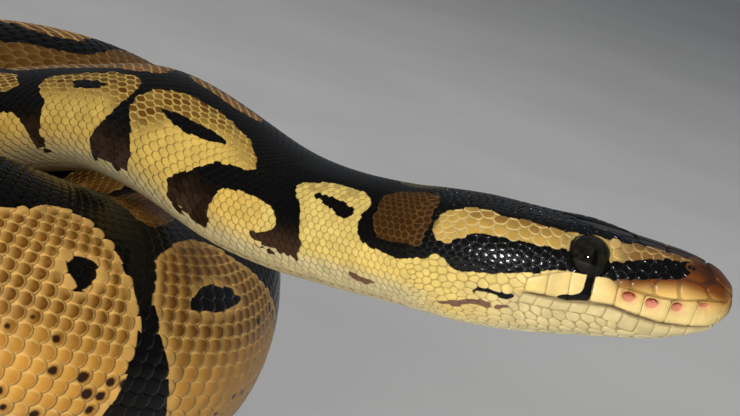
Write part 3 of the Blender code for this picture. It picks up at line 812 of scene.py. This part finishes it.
def make_skin():
    """One closed skin from the snout to the tail tip, with a socket round each eye."""
    rows = np.concatenate([np.linspace(0.1, 1, 12) ** 2 * 4, np.arange(4.5, 66, 0.5), np.arange(66, 260, 2.0),
                           np.arange(260, LENGTH - 1, 3.2), [LENGTH]])
    turns = -1 + 2 * np.arange(SKIN_COLUMNS) / SKIN_COLUMNS
    s, turn = (a.ravel() for a in np.meshgrid(rows, turns, indexing="ij"))
    sunk = thickness(s) + SKIN_CLEARANCE
    for x, y, wide, tall in [*PITS.values(), NOSTRIL]:
        across = (np.abs(turn) - y) * half_girth(x)
        away = ((s - x) / (wide + PIT_MARGIN)) ** 2 + (across / (tall + PIT_MARGIN)) ** 2
        sunk = sunk + PIT_SINK * np.exp(-away * 1.2)
    points = surface(s, turn, -sunk)
    points[:, 2] = np.maximum(points[:, 2], 0.25)
    near = s < 40
    for side in (-1, 1):
        points[near] = sink_socket(points[near], side)
    count, end = len(points), len(points) - SKIN_COLUMNS
    points = np.concatenate([points, surface(0.01, 0.0, -0.2)[None], [points[end:].mean(0)]])
    tips = np.concatenate([fan(0, SKIN_COLUMNS, count)[:, [1, 0, 2]], fan(end, SKIN_COLUMNS, count + 1)])
    s, turn = np.append(s, [0.0, LENGTH]), np.append(turn, [0.0, 0.0])
    colours = markings(s, turn, np.full((len(s), 2), 0.5))
    colours["edge"] = np.ones(len(s))
    along = s / LENGTH * BAKE_STRIPS
    strip = np.minimum(along.astype(int), BAKE_STRIPS - 1)
    across_strip = 3 * BAKE_MARGIN + (1 - 6 * BAKE_MARGIN) * (turn + 1) / 2
    along_strip = BAKE_MARGIN + (1 - 2 * BAKE_MARGIN) * (along - strip)
    uv = np.stack([along_strip, (strip + across_strip) / BAKE_STRIPS], 1)
    quads = grid_quads(len(rows), SKIN_COLUMNS, True)
    skin = make_piece("python_skin", points, quads, tips, colours, uv, skin_material())
    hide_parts(*FLESH)


def eye_centre(side):
    """Centre of the eyeball; side is 1 for the animal's left."""
    return np.array([EYE_X, HEAD_MIDDLE_Y + side * EYE_SIDE, EYE_Z])


def sink_socket(points, side):
    """Moves points that would lie in the eyeball to a cup behind it."""
    centre, radius = eye_centre(side), EYE_RADIUS + 0.12
    axis = unit(surface(EYE_S, side * EYE_TURN) - centre)
    away = points - centre
    reach = np.linalg.norm(away, axis=1)
    inside = reach < radius
    direction = unit(away[inside])
    cosine = np.clip(direction @ axis, -1, 1)
    angle = np.arccos(cosine)
    share = np.clip((1 - reach[inside] / radius) / (1 - reach[inside].min() / radius), 0, 1)
    turned = (angle + (np.pi - angle) * share)[:, None]
    sideways = unit(direction - cosine[:, None] * axis)
    out = points.copy()
    out[inside] = centre + radius * (np.cos(turned) * axis + np.sin(turned) * sideways)
    return out


# ---------------------------------------------------------------- body scales

EDGE_POINTS = 12               # round the rim of a scale
SKIRT = [9, 10, 11, 0, 1, 2, 3]    # rim points whose edge turns down to the skin
INNER_RING = 0.70              # share of the rim's reach
SPIN, SIZE_SPREAD, SHADE_SPREAD = 0.035, 0.03, 0.06    # how unlike each other the scales are


def rim_reach(angle, long, wide, power):
    """From the middle of a scale to its rim; a power over 2 is squarer, under 2 more pointed."""
    return (np.abs(np.cos(angle) / long) ** power + np.abs(np.sin(angle) / wide) ** power) ** (-1 / power)


def rhomb_reach(angle):
    return rim_reach(angle, 0.64, 0.76, 1.65)


def scale_template():
    """One overlapping scale: places in scale lengths and row widths, height, rim mark, faces."""
    count = EDGE_POINTS
    a = 2 * np.pi * np.arange(count) / count
    rim = rhomb_reach(a)[:, None] * np.stack([np.cos(a), np.sin(a)], 1)
    places = np.concatenate([rim, rim * INNER_RING, [[0, 0]], rim[SKIRT] * 0.97])
    height = 0.08 + 0.92 * smoothstep(-0.75, 0.65, places[:, 0])
    height[count:2 * count] += 0.20
    height[2 * count] += 0.26
    height[2 * count + 1:] = -0.25
    edge = np.concatenate([np.ones(count), np.full(count, INNER_RING), [0.0], np.ones(len(SKIRT))])
    top, low = np.array(SKIRT), 2 * count + 1 + np.arange(len(SKIRT))
    skirt_quads = np.stack([top[:-1], low[:-1], low[1:], top[1:]], 1)
    quads = np.concatenate([grid_quads(2, count, True), skirt_quads])
    return places, height, edge, quads, fan(count, count, 2 * count)


def lattice(first, last):
    """Places of all scales rooted between two stations: s, turn, length, width."""
    found = []
    for k in range(-MOST_ROWS, MOST_ROWS + 1):
        number = LATTICE_COUNT - 0.3 * k * squareness(LATTICE_S)
        u = np.arange(np.ceil(number[0]), number[-1] - 0.5) + 0.5 * (k % 2)
        s = np.interp(u, number, LATTICE_S)
        length = np.interp(s, LATTICE_S, 1 / np.gradient(number, LATTICE_S))
        kept = (s >= first) & (s < last) & (abs(k) <= look_up(ROWS, s, 2))
        s, length = s[kept], length[kept]
        width = row_width(s)
        turn = np.sign(k) * width * row_reach(abs(k)) / half_girth(s)
        found.append(np.stack([s, turn, length, width * np.exp(ROW_GROWTH * abs(k))], 1))
    return np.concatenate(found)


def make_body_scales(name, first, last, material, rng):
    """All scales rooted on a stretch of the body, as one piece."""
    places, height, edge, quads, tris = scale_template()
    s0, turn0, length, width = lattice(first, last).T[:, :, None]
    count, each = len(s0), len(places)
    angle = np.arctan2(places[:, 1], places[:, 0])
    squarer = 1 + 0.7 * squareness(s0) * (rim_reach(angle, 0.62, 0.60, 2.6) / rhomb_reach(angle) - 1)
    chance = rng.random((count, 2))
    spin = rng.normal(0, SPIN, count)[:, None]
    size = 1 + rng.normal(0, SIZE_SPREAD, count)[:, None]
    shade = np.repeat(1 + SHADE_SPREAD * (2 * rng.random(count) - 1), each)[:, None]
    p, q = places[:, 0] * length * squarer, places[:, 1] * width * squarer
    ds = (p * np.cos(spin) - q * np.sin(spin)) * size
    dt = (p * np.sin(spin) + q * np.cos(spin)) * size / half_girth(s0)
    points = surface(s0 + ds, turn0 + dt, thickness(s0) * (height - 1)).reshape(-1, 3)
    colours = markings((s0 + 0.8 * ds).ravel(), (turn0 + 0.8 * dt).ravel(), np.repeat(chance, each, 0), 1.0,
                       np.tile(places[:, 0], count))
    for key in ("middle", "rim"):
        colours[key] *= shade
    colours["edge"] = (edge * np.interp(s0, [60, 90, 170, 230], [1.0, 1.04, 1.04, 1.0])).ravel()
    uv = bake_place(s0, turn0, first, last) * 0.99 + 0.005 + np.clip(places, -1, 1) * 0.0022
    make_piece(name, points, repeat_faces(quads, count, each), repeat_faces(tris, count, each), colours,
               uv.reshape(-1, 2), material)


def make_belly_plates(material, rng):
    """Wide plates along the belly and pairs of plates under the tail."""
    across = np.linspace(-1, 1, 15)
    along = np.array([-0.52, -0.3, 0.2, 0.50, 0.60, 0.60])     # in steps between plates
    rise = np.array([0.05, 0.35, 0.9, 1.05, 0.95, -0.3])       # in scale depths
    plates = []
    s = HEAD_END - 4
    while s < LENGTH - 8:
        step = 1.6 * np.interp(s, LATTICE_S, LATTICE_STEP)
        centres = [(1.0, BELLY_SHARE * 1.06)] if s < VENT else [(1 - 0.12, 0.125), (1 + 0.12, 0.125)]
        plates += [(s, centre, half, step) for centre, half in centres]
        s += step
    s0, turn0, half, step = np.array(plates).T[:, :, None]
    count = len(s0)
    a, b = (v.ravel() for v in np.meshgrid(across, np.arange(len(along)), indexing="ij"))
    p = along[b] * (np.sqrt(np.clip(1 - np.abs(a) ** 6, 0, 1)) * 0.75 + 0.25)
    s, turn = s0 + step * (p - 0.12 * a ** 4), turn0 + half * a
    lift = rise[b] * (1 - 0.9 * np.abs(a) ** 8) - 0.5 * np.abs(a) ** 8
    points = surface(s, turn, thickness(s0) * (lift - 1)).reshape(-1, 3)
    chance = np.repeat(rng.random((count, 2)) * [1, 0.9], len(a), 0)
    colours = markings(s.ravel(), turn.ravel(), chance, 0.4)
    colours["edge"] = np.tile(np.clip(np.abs(a) ** 4 + (b >= 4), 0, 1), count)
    uv = bake_place(s0 + 0 * turn, turn, HEAD_END - 10, LENGTH)
    uv[..., 0] += (b / len(along) - 0.5) * 0.0025
    quads = repeat_faces(grid_quads(len(across), len(along)), count, len(a))
    no_tris = np.zeros((0, 3), int)
    make_piece("belly_plates", points, quads, no_tris, colours, uv.reshape(-1, 2), material)


# ---------------------------------------------------------------- head shields

LABIAL_ENDS = [2.75, 7.4, 11.7, 16.0, 20.4, 24.3, 28.0, 31.6, 34.9]
LOWER_ENDS = [3.3, 7.4, 10.2, 12.9, 15.7, 18.5, 21.3, 24.1, 27.0, 29.9, 32.6, 35.0]
LABIAL_TOP = [(0.8, 0.46), (5.5, 0.455), (10, 0.475), (14, 0.468), (18, 0.452), (20.5, 0.43), (22, 0.405),
              (27.5, 0.405), (31.6, 0.44), (34.9, 0.475), (38, 0.50)]
EYE_SCALES = 13                # round each eye
# shields on each side of the head, as outlines of (s, turn)
SIDE_SHIELDS = {
    "internasal": [(0.03, 0.01), (0.03, 0.28), (0.9, 0.30), (1.8, 0.28), (3.6, 0.25), (4.9, 0.16),
        (5.6, 0.004), (2, 0.006)],
    "nasal": [(5.1, 0.175), (8.0, 0.14), (10.4, 0.17), (10.8, 0.25), (9.3, 0.31), (6.4, 0.32), (4.4, 0.26)],
    "snout_side": [(0.95, 0.33), (1.2, 0.445), (4.2, 0.44), (5.6, 0.36), (5.3, 0.325), (3.9, 0.28),
        (1.9, 0.30)],
    "upper_lip_1": [(4.6, 0.44), (9.5, 0.465), (10.1, 0.40), (9.9, 0.325), (6.2, 0.335)],
    "upper_lip_2": [(9.9, 0.465), (13.9, 0.458), (14.4, 0.40), (13.9, 0.36), (10.3, 0.33), (10.5, 0.40)],
    "upper_lip_3": [(14.2, 0.458), (18.0, 0.442), (18.4, 0.41), (17.9, 0.39), (14.3, 0.367), (14.8, 0.40)],
    "prefrontal": [(5.9, 0.006), (5.2, 0.155), (8.0, 0.125), (10.6, 0.15), (12.5, 0.11), (12.7, 0.006)],
    "second_prefrontal": [(13.0, 0.006), (12.8, 0.115), (14.5, 0.14), (17.6, 0.12), (18.1, 0.006)],
    "supraocular": [(19.6, 0.085), (22, 0.064), (26, 0.058), (30, 0.068), (31.2, 0.09), (29.4, 0.105),
        (26, 0.092), (22.3, 0.105)],
}
MIDLINE_TOP = [(18.4, 0.0), (18.7, 0.055), (22, 0.056), (26, 0.048), (29, 0.034), (29.6, 0.0)]
CHIN_FRONT = [(2.2, 1.0), (2.4, 0.91), (3.0, 0.83), (4.3, 0.85), (5.6, 0.94), (5.9, 1.0)]
LIP_FRONT = [(1.95, 1.0), (2.15, 0.9), (2.45, 0.80), (2.6, 0.70), (2.65, 0.58), (2.5, 0.475), (1.0, 0.46),
             (0.75, 0.33), (0.03, 0.31), (0.03, 0.65), (0.03, 1.0)]
# nostril and heat pits: s, turn, half width and half height in mm; pits by the number of their lip shield
NOSTRIL = (8.5, 0.215, 0.65, 0.5)
PITS = {0: (5.6, 0.487, 0.85, 0.35), 1: (10.1, 0.512, 0.95, 0.75), 2: (14.3, 0.505, 1.1, 0.82),
        3: (18.2, 0.487, 1.1, 0.8)}


def mirrored(points, about):
    return points + [(s, 2 * about - t) for s, t in reversed(points) if abs(t - about) > 0.001]


def around_eye(angle, reach):
    """Places at a distance in mm from the eye's middle."""
    return np.stack([EYE_S + reach * np.cos(angle), EYE_TURN - reach * np.sin(angle) / half_girth(EYE_S)], -1)


def eye_edge(angle, gap):
    """How far along the head from the eye's middle its surface leaves the eyeball, towards each angle."""
    reach = np.linspace(0, 8, 161)
    s, turn = np.moveaxis(around_eye(angle[:, None], reach), -1, 0)
    away = np.linalg.norm(surface(s, turn) - eye_centre(1), axis=2)
    return reach[np.argmax(away > EYE_RADIUS + gap, axis=1)]


def below_mouth(s, deep):
    return s, mouth_turn(s) + deep / half_girth(s)


def head_outlines():
    """Every named shield: outline in (s, turn), and the hollow in it, if any."""
    group = [(points, NOSTRIL if name == "nasal" else None) for name, points in SIDE_SHIELDS.items()]
    for k, (a, b) in enumerate(zip(LABIAL_ENDS, LABIAL_ENDS[1:])):
        a2, b2 = (x - np.interp(x, [3, 22], [1.3, 0.1]) for x in (a, b))
        bulge = [(0, -0.20), (0.2, 0.0), (0.6, 0.14), (0.9, 0.06), (1, -0.20)]
        low = [below_mouth(a * (1 - f) + b * f, deep) for f, deep in bulge]
        group.append((low + [(x, look_up(LABIAL_TOP, x)) for x in (b2, (a2 + b2) / 2, a2)], PITS.get(k)))
    for a, b in zip(LOWER_ENDS, LOWER_ENDS[1:]):
        deep, ends = np.interp(a, [3, 14, 20, 35], [4.2, 4.0, 2.2, 1.7]), (a, (a + b) / 2, b)
        low = [(x + 0.6, below_mouth(x, deep)[1]) for x in reversed(ends)]
        group.append(([below_mouth(x, 0.14) for x in ends] + low, None))
    for a, b in ((6.0, 11.5), (11.8, 17.5)):
        chin = [(a, 0.985), (b, 0.985), (b + 0.5, 0.93), (b - 1.5, 0.90), (a + 0.6, 0.91), (a - 0.3, 0.94)]
        group.append((chin, None))
    for k in range(EYE_SCALES):
        angle = 2 * np.pi * (k + np.array([0.0, 0.33, 0.66, 1.0])) / EYE_SCALES
        inner = eye_edge(angle, 0.02)
        ring = np.concatenate([around_eye(angle, inner), around_eye(angle, inner + 1.15)[::-1]])
        group.append((ring.tolist(), None))
    found = [(mirrored(*half), None) for half in ((LIP_FRONT, 1), (CHIN_FRONT, 1), (MIDLINE_TOP, 0))]
    for side in (-1, 1):
        found += [([(s, side * t) for s, t in points], hollow and (hollow[0], side * hollow[1], *hollow[2:]))
                  for points, hollow in group]
    return found


def rounded(points, sides, cut):
    """Outline with its corners cut twice, at an even count of points."""
    p = np.array(points, float)
    for _ in range(2):
        q = np.roll(p, -1, 0)
        p = np.stack([p * (1 - cut) + q * cut, p * cut + q * (1 - cut)], 1).reshape(-1, 2)
    closed = np.concatenate([p, p[:1]])
    walk = running_sum(np.hypot(*(np.diff(closed, axis=0) * [1, half_girth(p[:, 0].mean())]).T))
    return interp_rows(np.arange(sides) / sides * walk[-1], walk, closed)


# wanted size of the small head scales, in areas that lie one over the other: s and turn of the area,
# and sizes along s
GRAIN = [((0, 99), (-1, 2), [(5, 2.0), (20, 1.9), (30, 1.75), (40, 1.3), (46, 1.1), (52, 1.0)]),
         ((28, 48), (0.17, 0.34), [(28, 2.0), (44, 1.9), (49, 1.2)]),
         ((8, 50), (0.33, 0.48), [(8, 1.6), (48, 1.05)]),
         ((0, 99), (0.62, 2), [(5, 2.4), (25, 2.2), (40, 1.5), (52, 1.05)])]


def grain(s, turn):
    t, size = np.abs(turn), 0.0
    for (s_low, s_high), (t_low, t_high), sizes in GRAIN:
        inside = (s > s_low) & (s < s_high) & (t > t_low) & (t < t_high)
        size = np.where(inside, look_up(sizes, s), size)
    return size


def flat(s, turn):
    """The places on a flat sheet, in mm."""
    return np.stack([s, turn * half_girth(s)], -1)


def clip_cell(cell, normal, offset):
    """Part of a convex cell where point . normal <= offset."""
    d = cell @ normal - offset
    if (d <= 0).all():
        return cell
    out = []
    for a, b, da, db in zip(cell, np.roll(cell, -1, 0), d, np.roll(d, -1)):
        if da <= 0:
            out.append(a)
        if (da < 0) != (db < 0) and da != db:
            out.append(a + (b - a) * (da / (da - db)))
    return np.array(out).reshape(-1, 2)


def cells_round(seeds, fixed, walls):
    """Convex cell round each seed (x, y, size), between the other seeds and inside the walls."""
    everything = np.concatenate([seeds, fixed])
    other_side = everything.copy()
    other_side[:, 1] = np.sign(everything[:, 1]) * 2 * half_girth(everything[:, 0]) - everything[:, 1]
    everything = np.concatenate([everything, other_side])
    cells = []
    for seed in seeds:
        place, size = seed[:2], seed[2]
        cell = place + np.array([(-1, -1), (1, -1), (1, 1), (-1, 1)]) * size * 1.3
        away = everything[:, :2] - place
        distance = np.hypot(*away.T)
        for j in np.nonzero((distance > 1e-6) & (distance < 3.2 * size))[0]:
            normal = away[j] / distance[j]
            share = (distance[j] ** 2 + (size ** 2 - everything[j, 2] ** 2) * 0.25) / (2 * distance[j])
            cell = clip_cell(cell, normal, place @ normal + share)
        for corners in walls:
            if np.abs(corners - place).max(1).min() > 8:
                continue
            side = np.roll(corners, -1, 0) - corners
            normal = unit(np.stack([side[:, 1], -side[:, 0]], 1))
            normal *= np.sign(((corners - corners.mean(0)) * normal).sum(1).mean())
            outside = (normal * (place - corners)).sum(1)
            k = outside.argmax()
            if outside[k] > 0:
                cell = clip_cell(cell, -normal[k], -(normal[k] @ corners[k]))
        cells.append(cell)
    return cells


def small_head_scales(shields, rng):
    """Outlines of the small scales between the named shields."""
    s, turn = rng.uniform(4.5, HEAD_END, 30000), rng.uniform(-1, 1, 30000)
    from_eye = np.hypot(s - EYE_S, (np.abs(turn) - EYE_TURN) * half_girth(EYE_S))
    free = (from_eye > 4.6) & ((np.abs(turn) < 0.97) | (s > 18.5))
    for points, _ in shields:
        free &= depth_in(np.array(points), s, turn) < -0.3
    s, turn = s[free], turn[free]
    seeds = np.column_stack([flat(s, turn), grain(s, turn)])
    kept = seeds[:1]
    for seed in seeds[1:]:
        gap = np.hypot(kept[:, 0] - seed[0], kept[:, 1] - seed[1]) / (kept[:, 2] + seed[2])
        if gap.min() > 0.44:
            kept = np.concatenate([kept, seed[None]])
    s, turn = lattice(HEAD_END, HEAD_END + 4)[:, :2].T
    body_rows = np.column_stack([flat(s, turn), grain(s, turn)])
    walls = [flat(*np.array(points).T) for points, _ in shields]
    for _ in range(3):
        for seed, cell in zip(kept, cells_round(kept, body_rows, walls)):
            if len(cell) > 2:
                seed[:2] = cell.mean(0)
    out = []
    for cell in cells_round(kept, body_rows, walls):
        if len(cell) < 3:
            continue
        after = np.roll(cell, -1, 0)
        area = abs((cell[:, 0] * after[:, 1] - cell[:, 1] * after[:, 0]).sum()) / 2
        wanted = grain(*cell.mean(0) / [1, half_girth(cell[:, 0].mean())])
        if 4 * area >= 0.52 * np.hypot(*(after - cell).T).sum() * wanted:
            out.append(np.stack([cell[:, 0], cell[:, 1] / half_girth(cell[:, 0])], 1))
    return out


def plate_loops(points, hollow, small):
    """Closed loops of points from a shield's rim to its middle, which is the last point.

    Returns arrays of the points' places, heights in mm, rim marks, hollow tones and (s, turn, radius)
    of the shield, and the number of loops and of sides.
    """
    sides = 14 if small else 28
    ring = rounded(points, sides, 0.22 if small else 0.12)
    size = np.array([1.0, half_girth(ring[:, 0].mean())])
    core = centre = ring.mean(0)
    reach = np.hypot(*((ring - centre) * size).T)
    radius = reach.mean()
    ring = centre + (ring - centre) * (1 - 0.06 / np.maximum(reach, 0.3))[:, None]
    high = thickness(centre[0]) * np.clip(radius / 1.3, 0.6, 1.15)
    if hollow:
        core = np.array(hollow[:2])
        (x0, y0), (x1, y1) = (ring[:2] - centre) * size
        a = np.arctan2(y0, x0) + np.sign(x0 * y1 - y0 * x1) * 2 * np.pi * np.arange(sides) / sides
        cup = np.stack([np.cos(a) * hollow[2], np.sin(a) * hollow[3]], 1) / size
        upward = 1 - np.sin(a) * np.sign(core[1])
        loops = [ring * (1 - f) + (core + cup) * f for f in (0, 0, 0.1, 0.34, 0.64)]
        loops += [core + cup * f for f in (1.12, 1, 0.85, 0.45)]
        heights = [high * h for h in (-1.4, 0.1, 0.75, 1.05, 1.05, 1.0, 0.75)]
        heights += [0.10 - 0.30 * upward, -0.05 - 0.26 * upward, -0.30]
        marks, tones = [1, 1, 0.8, 0.5, 0.3] + [0.2] * 5, [0, 0, 0, 0, 0.05, 0.35, 0.8, 1, 1, 1]
    else:
        shares = [0.45] if small else [0.75, 0.5, 0.25]
        insets = [1 - inset * min(1, radius) / radius for inset in (0, 0, 0.07, 0.22)]
        loops = [centre + (ring - centre) * share for share in insets + shares]
        heights = [high * h for h in [-1.4, 0.25, 0.70, 0.92] + [1.06] * len(shares) + [1.09]]
        marks, tones = [1, 1, 0.85, 0.55] + [0.45 * share for share in shares] + [0], [0] * len(heights)
    each = [np.concatenate([value + np.zeros(sides) for value in values[:-1]] + [values[-1:]])
            for values in (heights, marks, tones)]
    root = np.tile([*centre, radius], (len(each[0]), 1))
    return np.concatenate([*loops, [core]]), *each, root, len(loops), sides


def make_head_shields(material, rng):
    """Every plate of the head as one piece, with its nostrils and heat pits."""
    shields = head_outlines()
    small = small_head_scales(shields, rng)
    plates = [plate_loops(points, hollow, False) for points, hollow in shields]
    plates += [plate_loops(points, None, True) for points in small]
    quads, tris, counts = [], [], []
    for places, *_, loops, sides in plates:
        quads.append(sum(counts) + grid_quads(loops, sides, True))
        tris.append(sum(counts) + fan((loops - 1) * sides, sides, loops * sides))
        counts.append(len(places))
    places, height, edge, tone, root = (np.concatenate(arrays) for arrays in list(zip(*plates))[:5])
    s, turn = places.T
    root_s, root_turn, radius = root.T
    chance = np.repeat(rng.random((len(plates), 2)), counts, 0)
    points = surface(s, turn, height - thickness(s) * 0.9)
    clear = EYE_RADIUS + 0.05
    for side in (-1, 1):
        away = points - eye_centre(side)
        reach = np.linalg.norm(away, axis=1, keepdims=True)
        points = np.where(reach < clear, eye_centre(side) + away / reach * clear, points)
    follow = np.clip(radius - 0.4, 0.65, 1)
    colours = markings(root_s + (s - root_s) * follow, root_turn + (turn - root_turn) * follow, chance, 0.5)
    # painted shadow: each heat pit is dark red towards its upper side and pink below
    hollow_turn = np.interp(s, *np.array([pit[:2] for pit in PITS.values()]).T)
    pit_shadow = smoothstep(-0.25, 0.45, (hollow_turn - np.abs(turn)) * half_girth(s))
    hollow_colour = mix(PIT_PINK, PIT_SHADOW_RED, pit_shadow)
    # painted shade: the nostril's hollow is black
    hollow_colour[np.abs(turn) < 0.3] = NOSTRIL_SHADE
    shade = (0.95 + 0.1 * chance[:, 1])[:, None]
    for key in ("middle", "rim"):
        colours[key] = mix(colours[key] * shade, hollow_colour, tone)
    colours["depth"] = np.maximum(colours["depth"], np.where(tone > 0.1, 3.0, FAR_OUT))
    colours["edge"] = edge
    spread = np.stack([s - root_s, (turn - root_turn) * half_girth(root_s)], 1)
    uv = bake_place(root_s, root_turn, -1.0, HEAD_END + 4) + np.clip(spread * 0.0012, -0.004, 0.004)
    make_piece("head_shields", points, orient(points, np.concatenate(quads), s),
               orient(points, np.concatenate(tris), s), colours, uv, material)


def orient(points, faces, s):
    """Faces turned so that they look away from the body's middle line."""
    a, b, c = (points[faces[:, k]] for k in range(3))
    middle = interp_rows(s[faces[:, 0]], STATIONS, MIDDLE)
    inward = (np.cross(b - a, c - a) * (a - middle)).sum(1) < 0
    return np.where(inward[:, None], faces[:, ::-1], faces)


# ---------------------------------------------------------------- eyes

EYE_RINGS, EYE_SPOKES = 40, 64


def make_eye(side, material):
    """Ball whose +Z is the gaze and +Y the head's upward side."""
    name = "left" if side > 0 else "right"
    gaze = unit(np.array(GAZE) * [1, side, 1])
    upward = np.array([-0.12, 0, 1.0])
    upward = unit(upward - gaze * (upward @ gaze))
    polar = np.linspace(0, np.pi, EYE_RINGS + 1)[1:-1, None]
    turn = 2 * np.pi * np.arange(EYE_SPOKES) / EYE_SPOKES
    wide, ahead = np.sin(polar), np.cos(polar)
    ball = np.stack([wide * np.cos(turn), wide * np.sin(turn), ahead + 0 * turn], -1)
    ball = np.concatenate([ball.reshape(-1, 3), [[0, 0, 1], [0, 0, -1]]]) * EYE_RADIUS
    front, back = len(ball) - 2, len(ball) - 1
    quads = grid_quads(EYE_RINGS - 1, EYE_SPOKES, True)[:, [0, 3, 2, 1]]
    tris = [fan(0, EYE_SPOKES, front), fan(front - EYE_SPOKES, EYE_SPOKES, back)[:, [1, 0, 2]]]
    uv = 0.5 + 0.48 * ball[:, :2] / EYE_RADIUS * (1 - 0.45 * (ball[:, 2:] < 0))
    eye = make_piece("python_eye_" + name, ball, quads, np.concatenate(tris), {}, uv, material)
    axes = Matrix(np.stack([np.cross(upward, gaze), upward, gaze], 1).tolist()).to_4x4()
    eye.matrix_world = Matrix.Translation(Vector(eye_centre(side) * MM)) @ axes
    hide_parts("eye_" + name)


# ---------------------------------------------------------------- stage

FLOOR_HALF = 3.0               # metres, as all in this section
FLOOR_GAP = 0.0003
CAMERA_PLACE = (0.0726, -0.42996, 0.2022)
CAMERA_DOWN, CAMERA_ROLL = np.radians(12.0), np.radians(17.5)


def make_floor():
    mesh = bpy.data.meshes.new("studio_floor")
    corners = [(x * FLOOR_HALF, y * FLOOR_HALF, 0) for x, y in ((-1, -1), (1, -1), (1, 1), (-1, 1))]
    mesh.from_pydata(corners, [], [(0, 1, 2, 3)])
    floor = bpy.data.objects.new("studio_floor", mesh)
    bpy.context.scene.collection.objects.link(floor)
    floor.location.z = -FLOOR_GAP
    mesh.materials.append(floor_material())


def add_light(name, place, target, size, power, colour=(1, 1, 1), glints=False):
    """Round area light; one with glints only mirrors in shiny surfaces, the others only light them."""
    data = bpy.data.lights.new(name, 'AREA')
    data.shape, data.size, data.energy, data.color = 'DISK', size, power, colour
    light = bpy.data.objects.new(name, data)
    light.location = place
    light.rotation_euler = (Vector(target) - Vector(place)).to_track_quat('-Z', 'Y').to_euler()
    light.visible_glossy = glints
    light.visible_diffuse = not glints
    bpy.context.scene.collection.objects.link(light)


def make_lights():
    add_light("key", (-0.16, -1.0, 0.36), (0.02, -0.05, 0.09), 0.30, 6.0, (1.0, 0.97, 0.92))
    add_light("fill", (0.2, -1.0, 0.06), (0.0, -0.05, 0.07), 0.5, 3.3, (1.0, 0.98, 0.96))
    add_light("top", (0.1, 0.45, 1.6), (0.0, 0.1, 0.05), 1.0, 9)
    add_light("sparkle", (0.02, -0.8, 0.42), (0.08, -0.08, 0.12), 0.04, 7, glints=True)
    world = bpy.data.worlds.new("studio")
    world.use_nodes = True
    background = world.node_tree.nodes["Background"]
    background.inputs["Color"].default_value = (0.80, 0.84, 0.90, 1)
    background.inputs["Strength"].default_value = 0.16
    bpy.context.scene.world = world


def make_camera():
    """Looks along +Y and a little down, rolled so that the neck slopes as in the picture."""
    right = np.array([1.0, 0, 0])
    up = np.array([0, np.sin(CAMERA_DOWN), np.cos(CAMERA_DOWN)])
    turned = np.stack([right * np.cos(CAMERA_ROLL) + up * np.sin(CAMERA_ROLL),
                       up * np.cos(CAMERA_ROLL) - right * np.sin(CAMERA_ROLL), np.cross(right, up)], 1)
    data = bpy.data.cameras.new("camera")
    data.lens, data.sensor_width, data.clip_start = 100.0, 36.0, 0.01
    camera = bpy.data.objects.new("camera", data)
    camera.matrix_world = Matrix.Translation(CAMERA_PLACE) @ Matrix(turned.tolist()).to_4x4()
    bpy.context.scene.collection.objects.link(camera)
    bpy.context.scene.camera = camera


# ---------------------------------------------------------------- all of it

# name, first and last s, and the name of a part of the body
SCALE_PIECES = [("scales_neck", HEAD_END, 128, "neck"), ("scales_forebody", 128, 240, "forebody"),
                ("scales_trunk_a", 240, 345, "trunk_2"), ("scales_trunk_b", 345, 430, "trunk_3"),
                ("scales_trunk_c", 430, 535, "trunk_5"), ("scales_trunk_d", 535, 660, "trunk_6"),
                ("scales_trunk_e", 660, 790, "trunk_8"), ("scales_trunk_f", 790, 930, "trunk_9"),
                ("scales_trunk_g", 930, VENT, "trunk_11"), ("scales_tail", VENT, LENGTH - 1.5, "tail_base")]


def main():
    rng = np.random.default_rng(5)
    scales = scale_material("python_scales", 0.66, 0.86, 0.22, 0.14)
    make_skin()
    for name, first, last, slot in SCALE_PIECES:
        make_body_scales(name, first, last, scales, rng)
    make_belly_plates(scales, rng)
    make_head_shields(scale_material("python_head_scales", 0.6, 0.95, 0.18, 0.24), rng)
    eyes = eye_material()
    for side in (-1, 1):
        make_eye(side, eyes)
    make_floor()
    make_lights()
    make_camera()
    bpy.context.scene.view_settings.view_transform = 'Standard'


main()
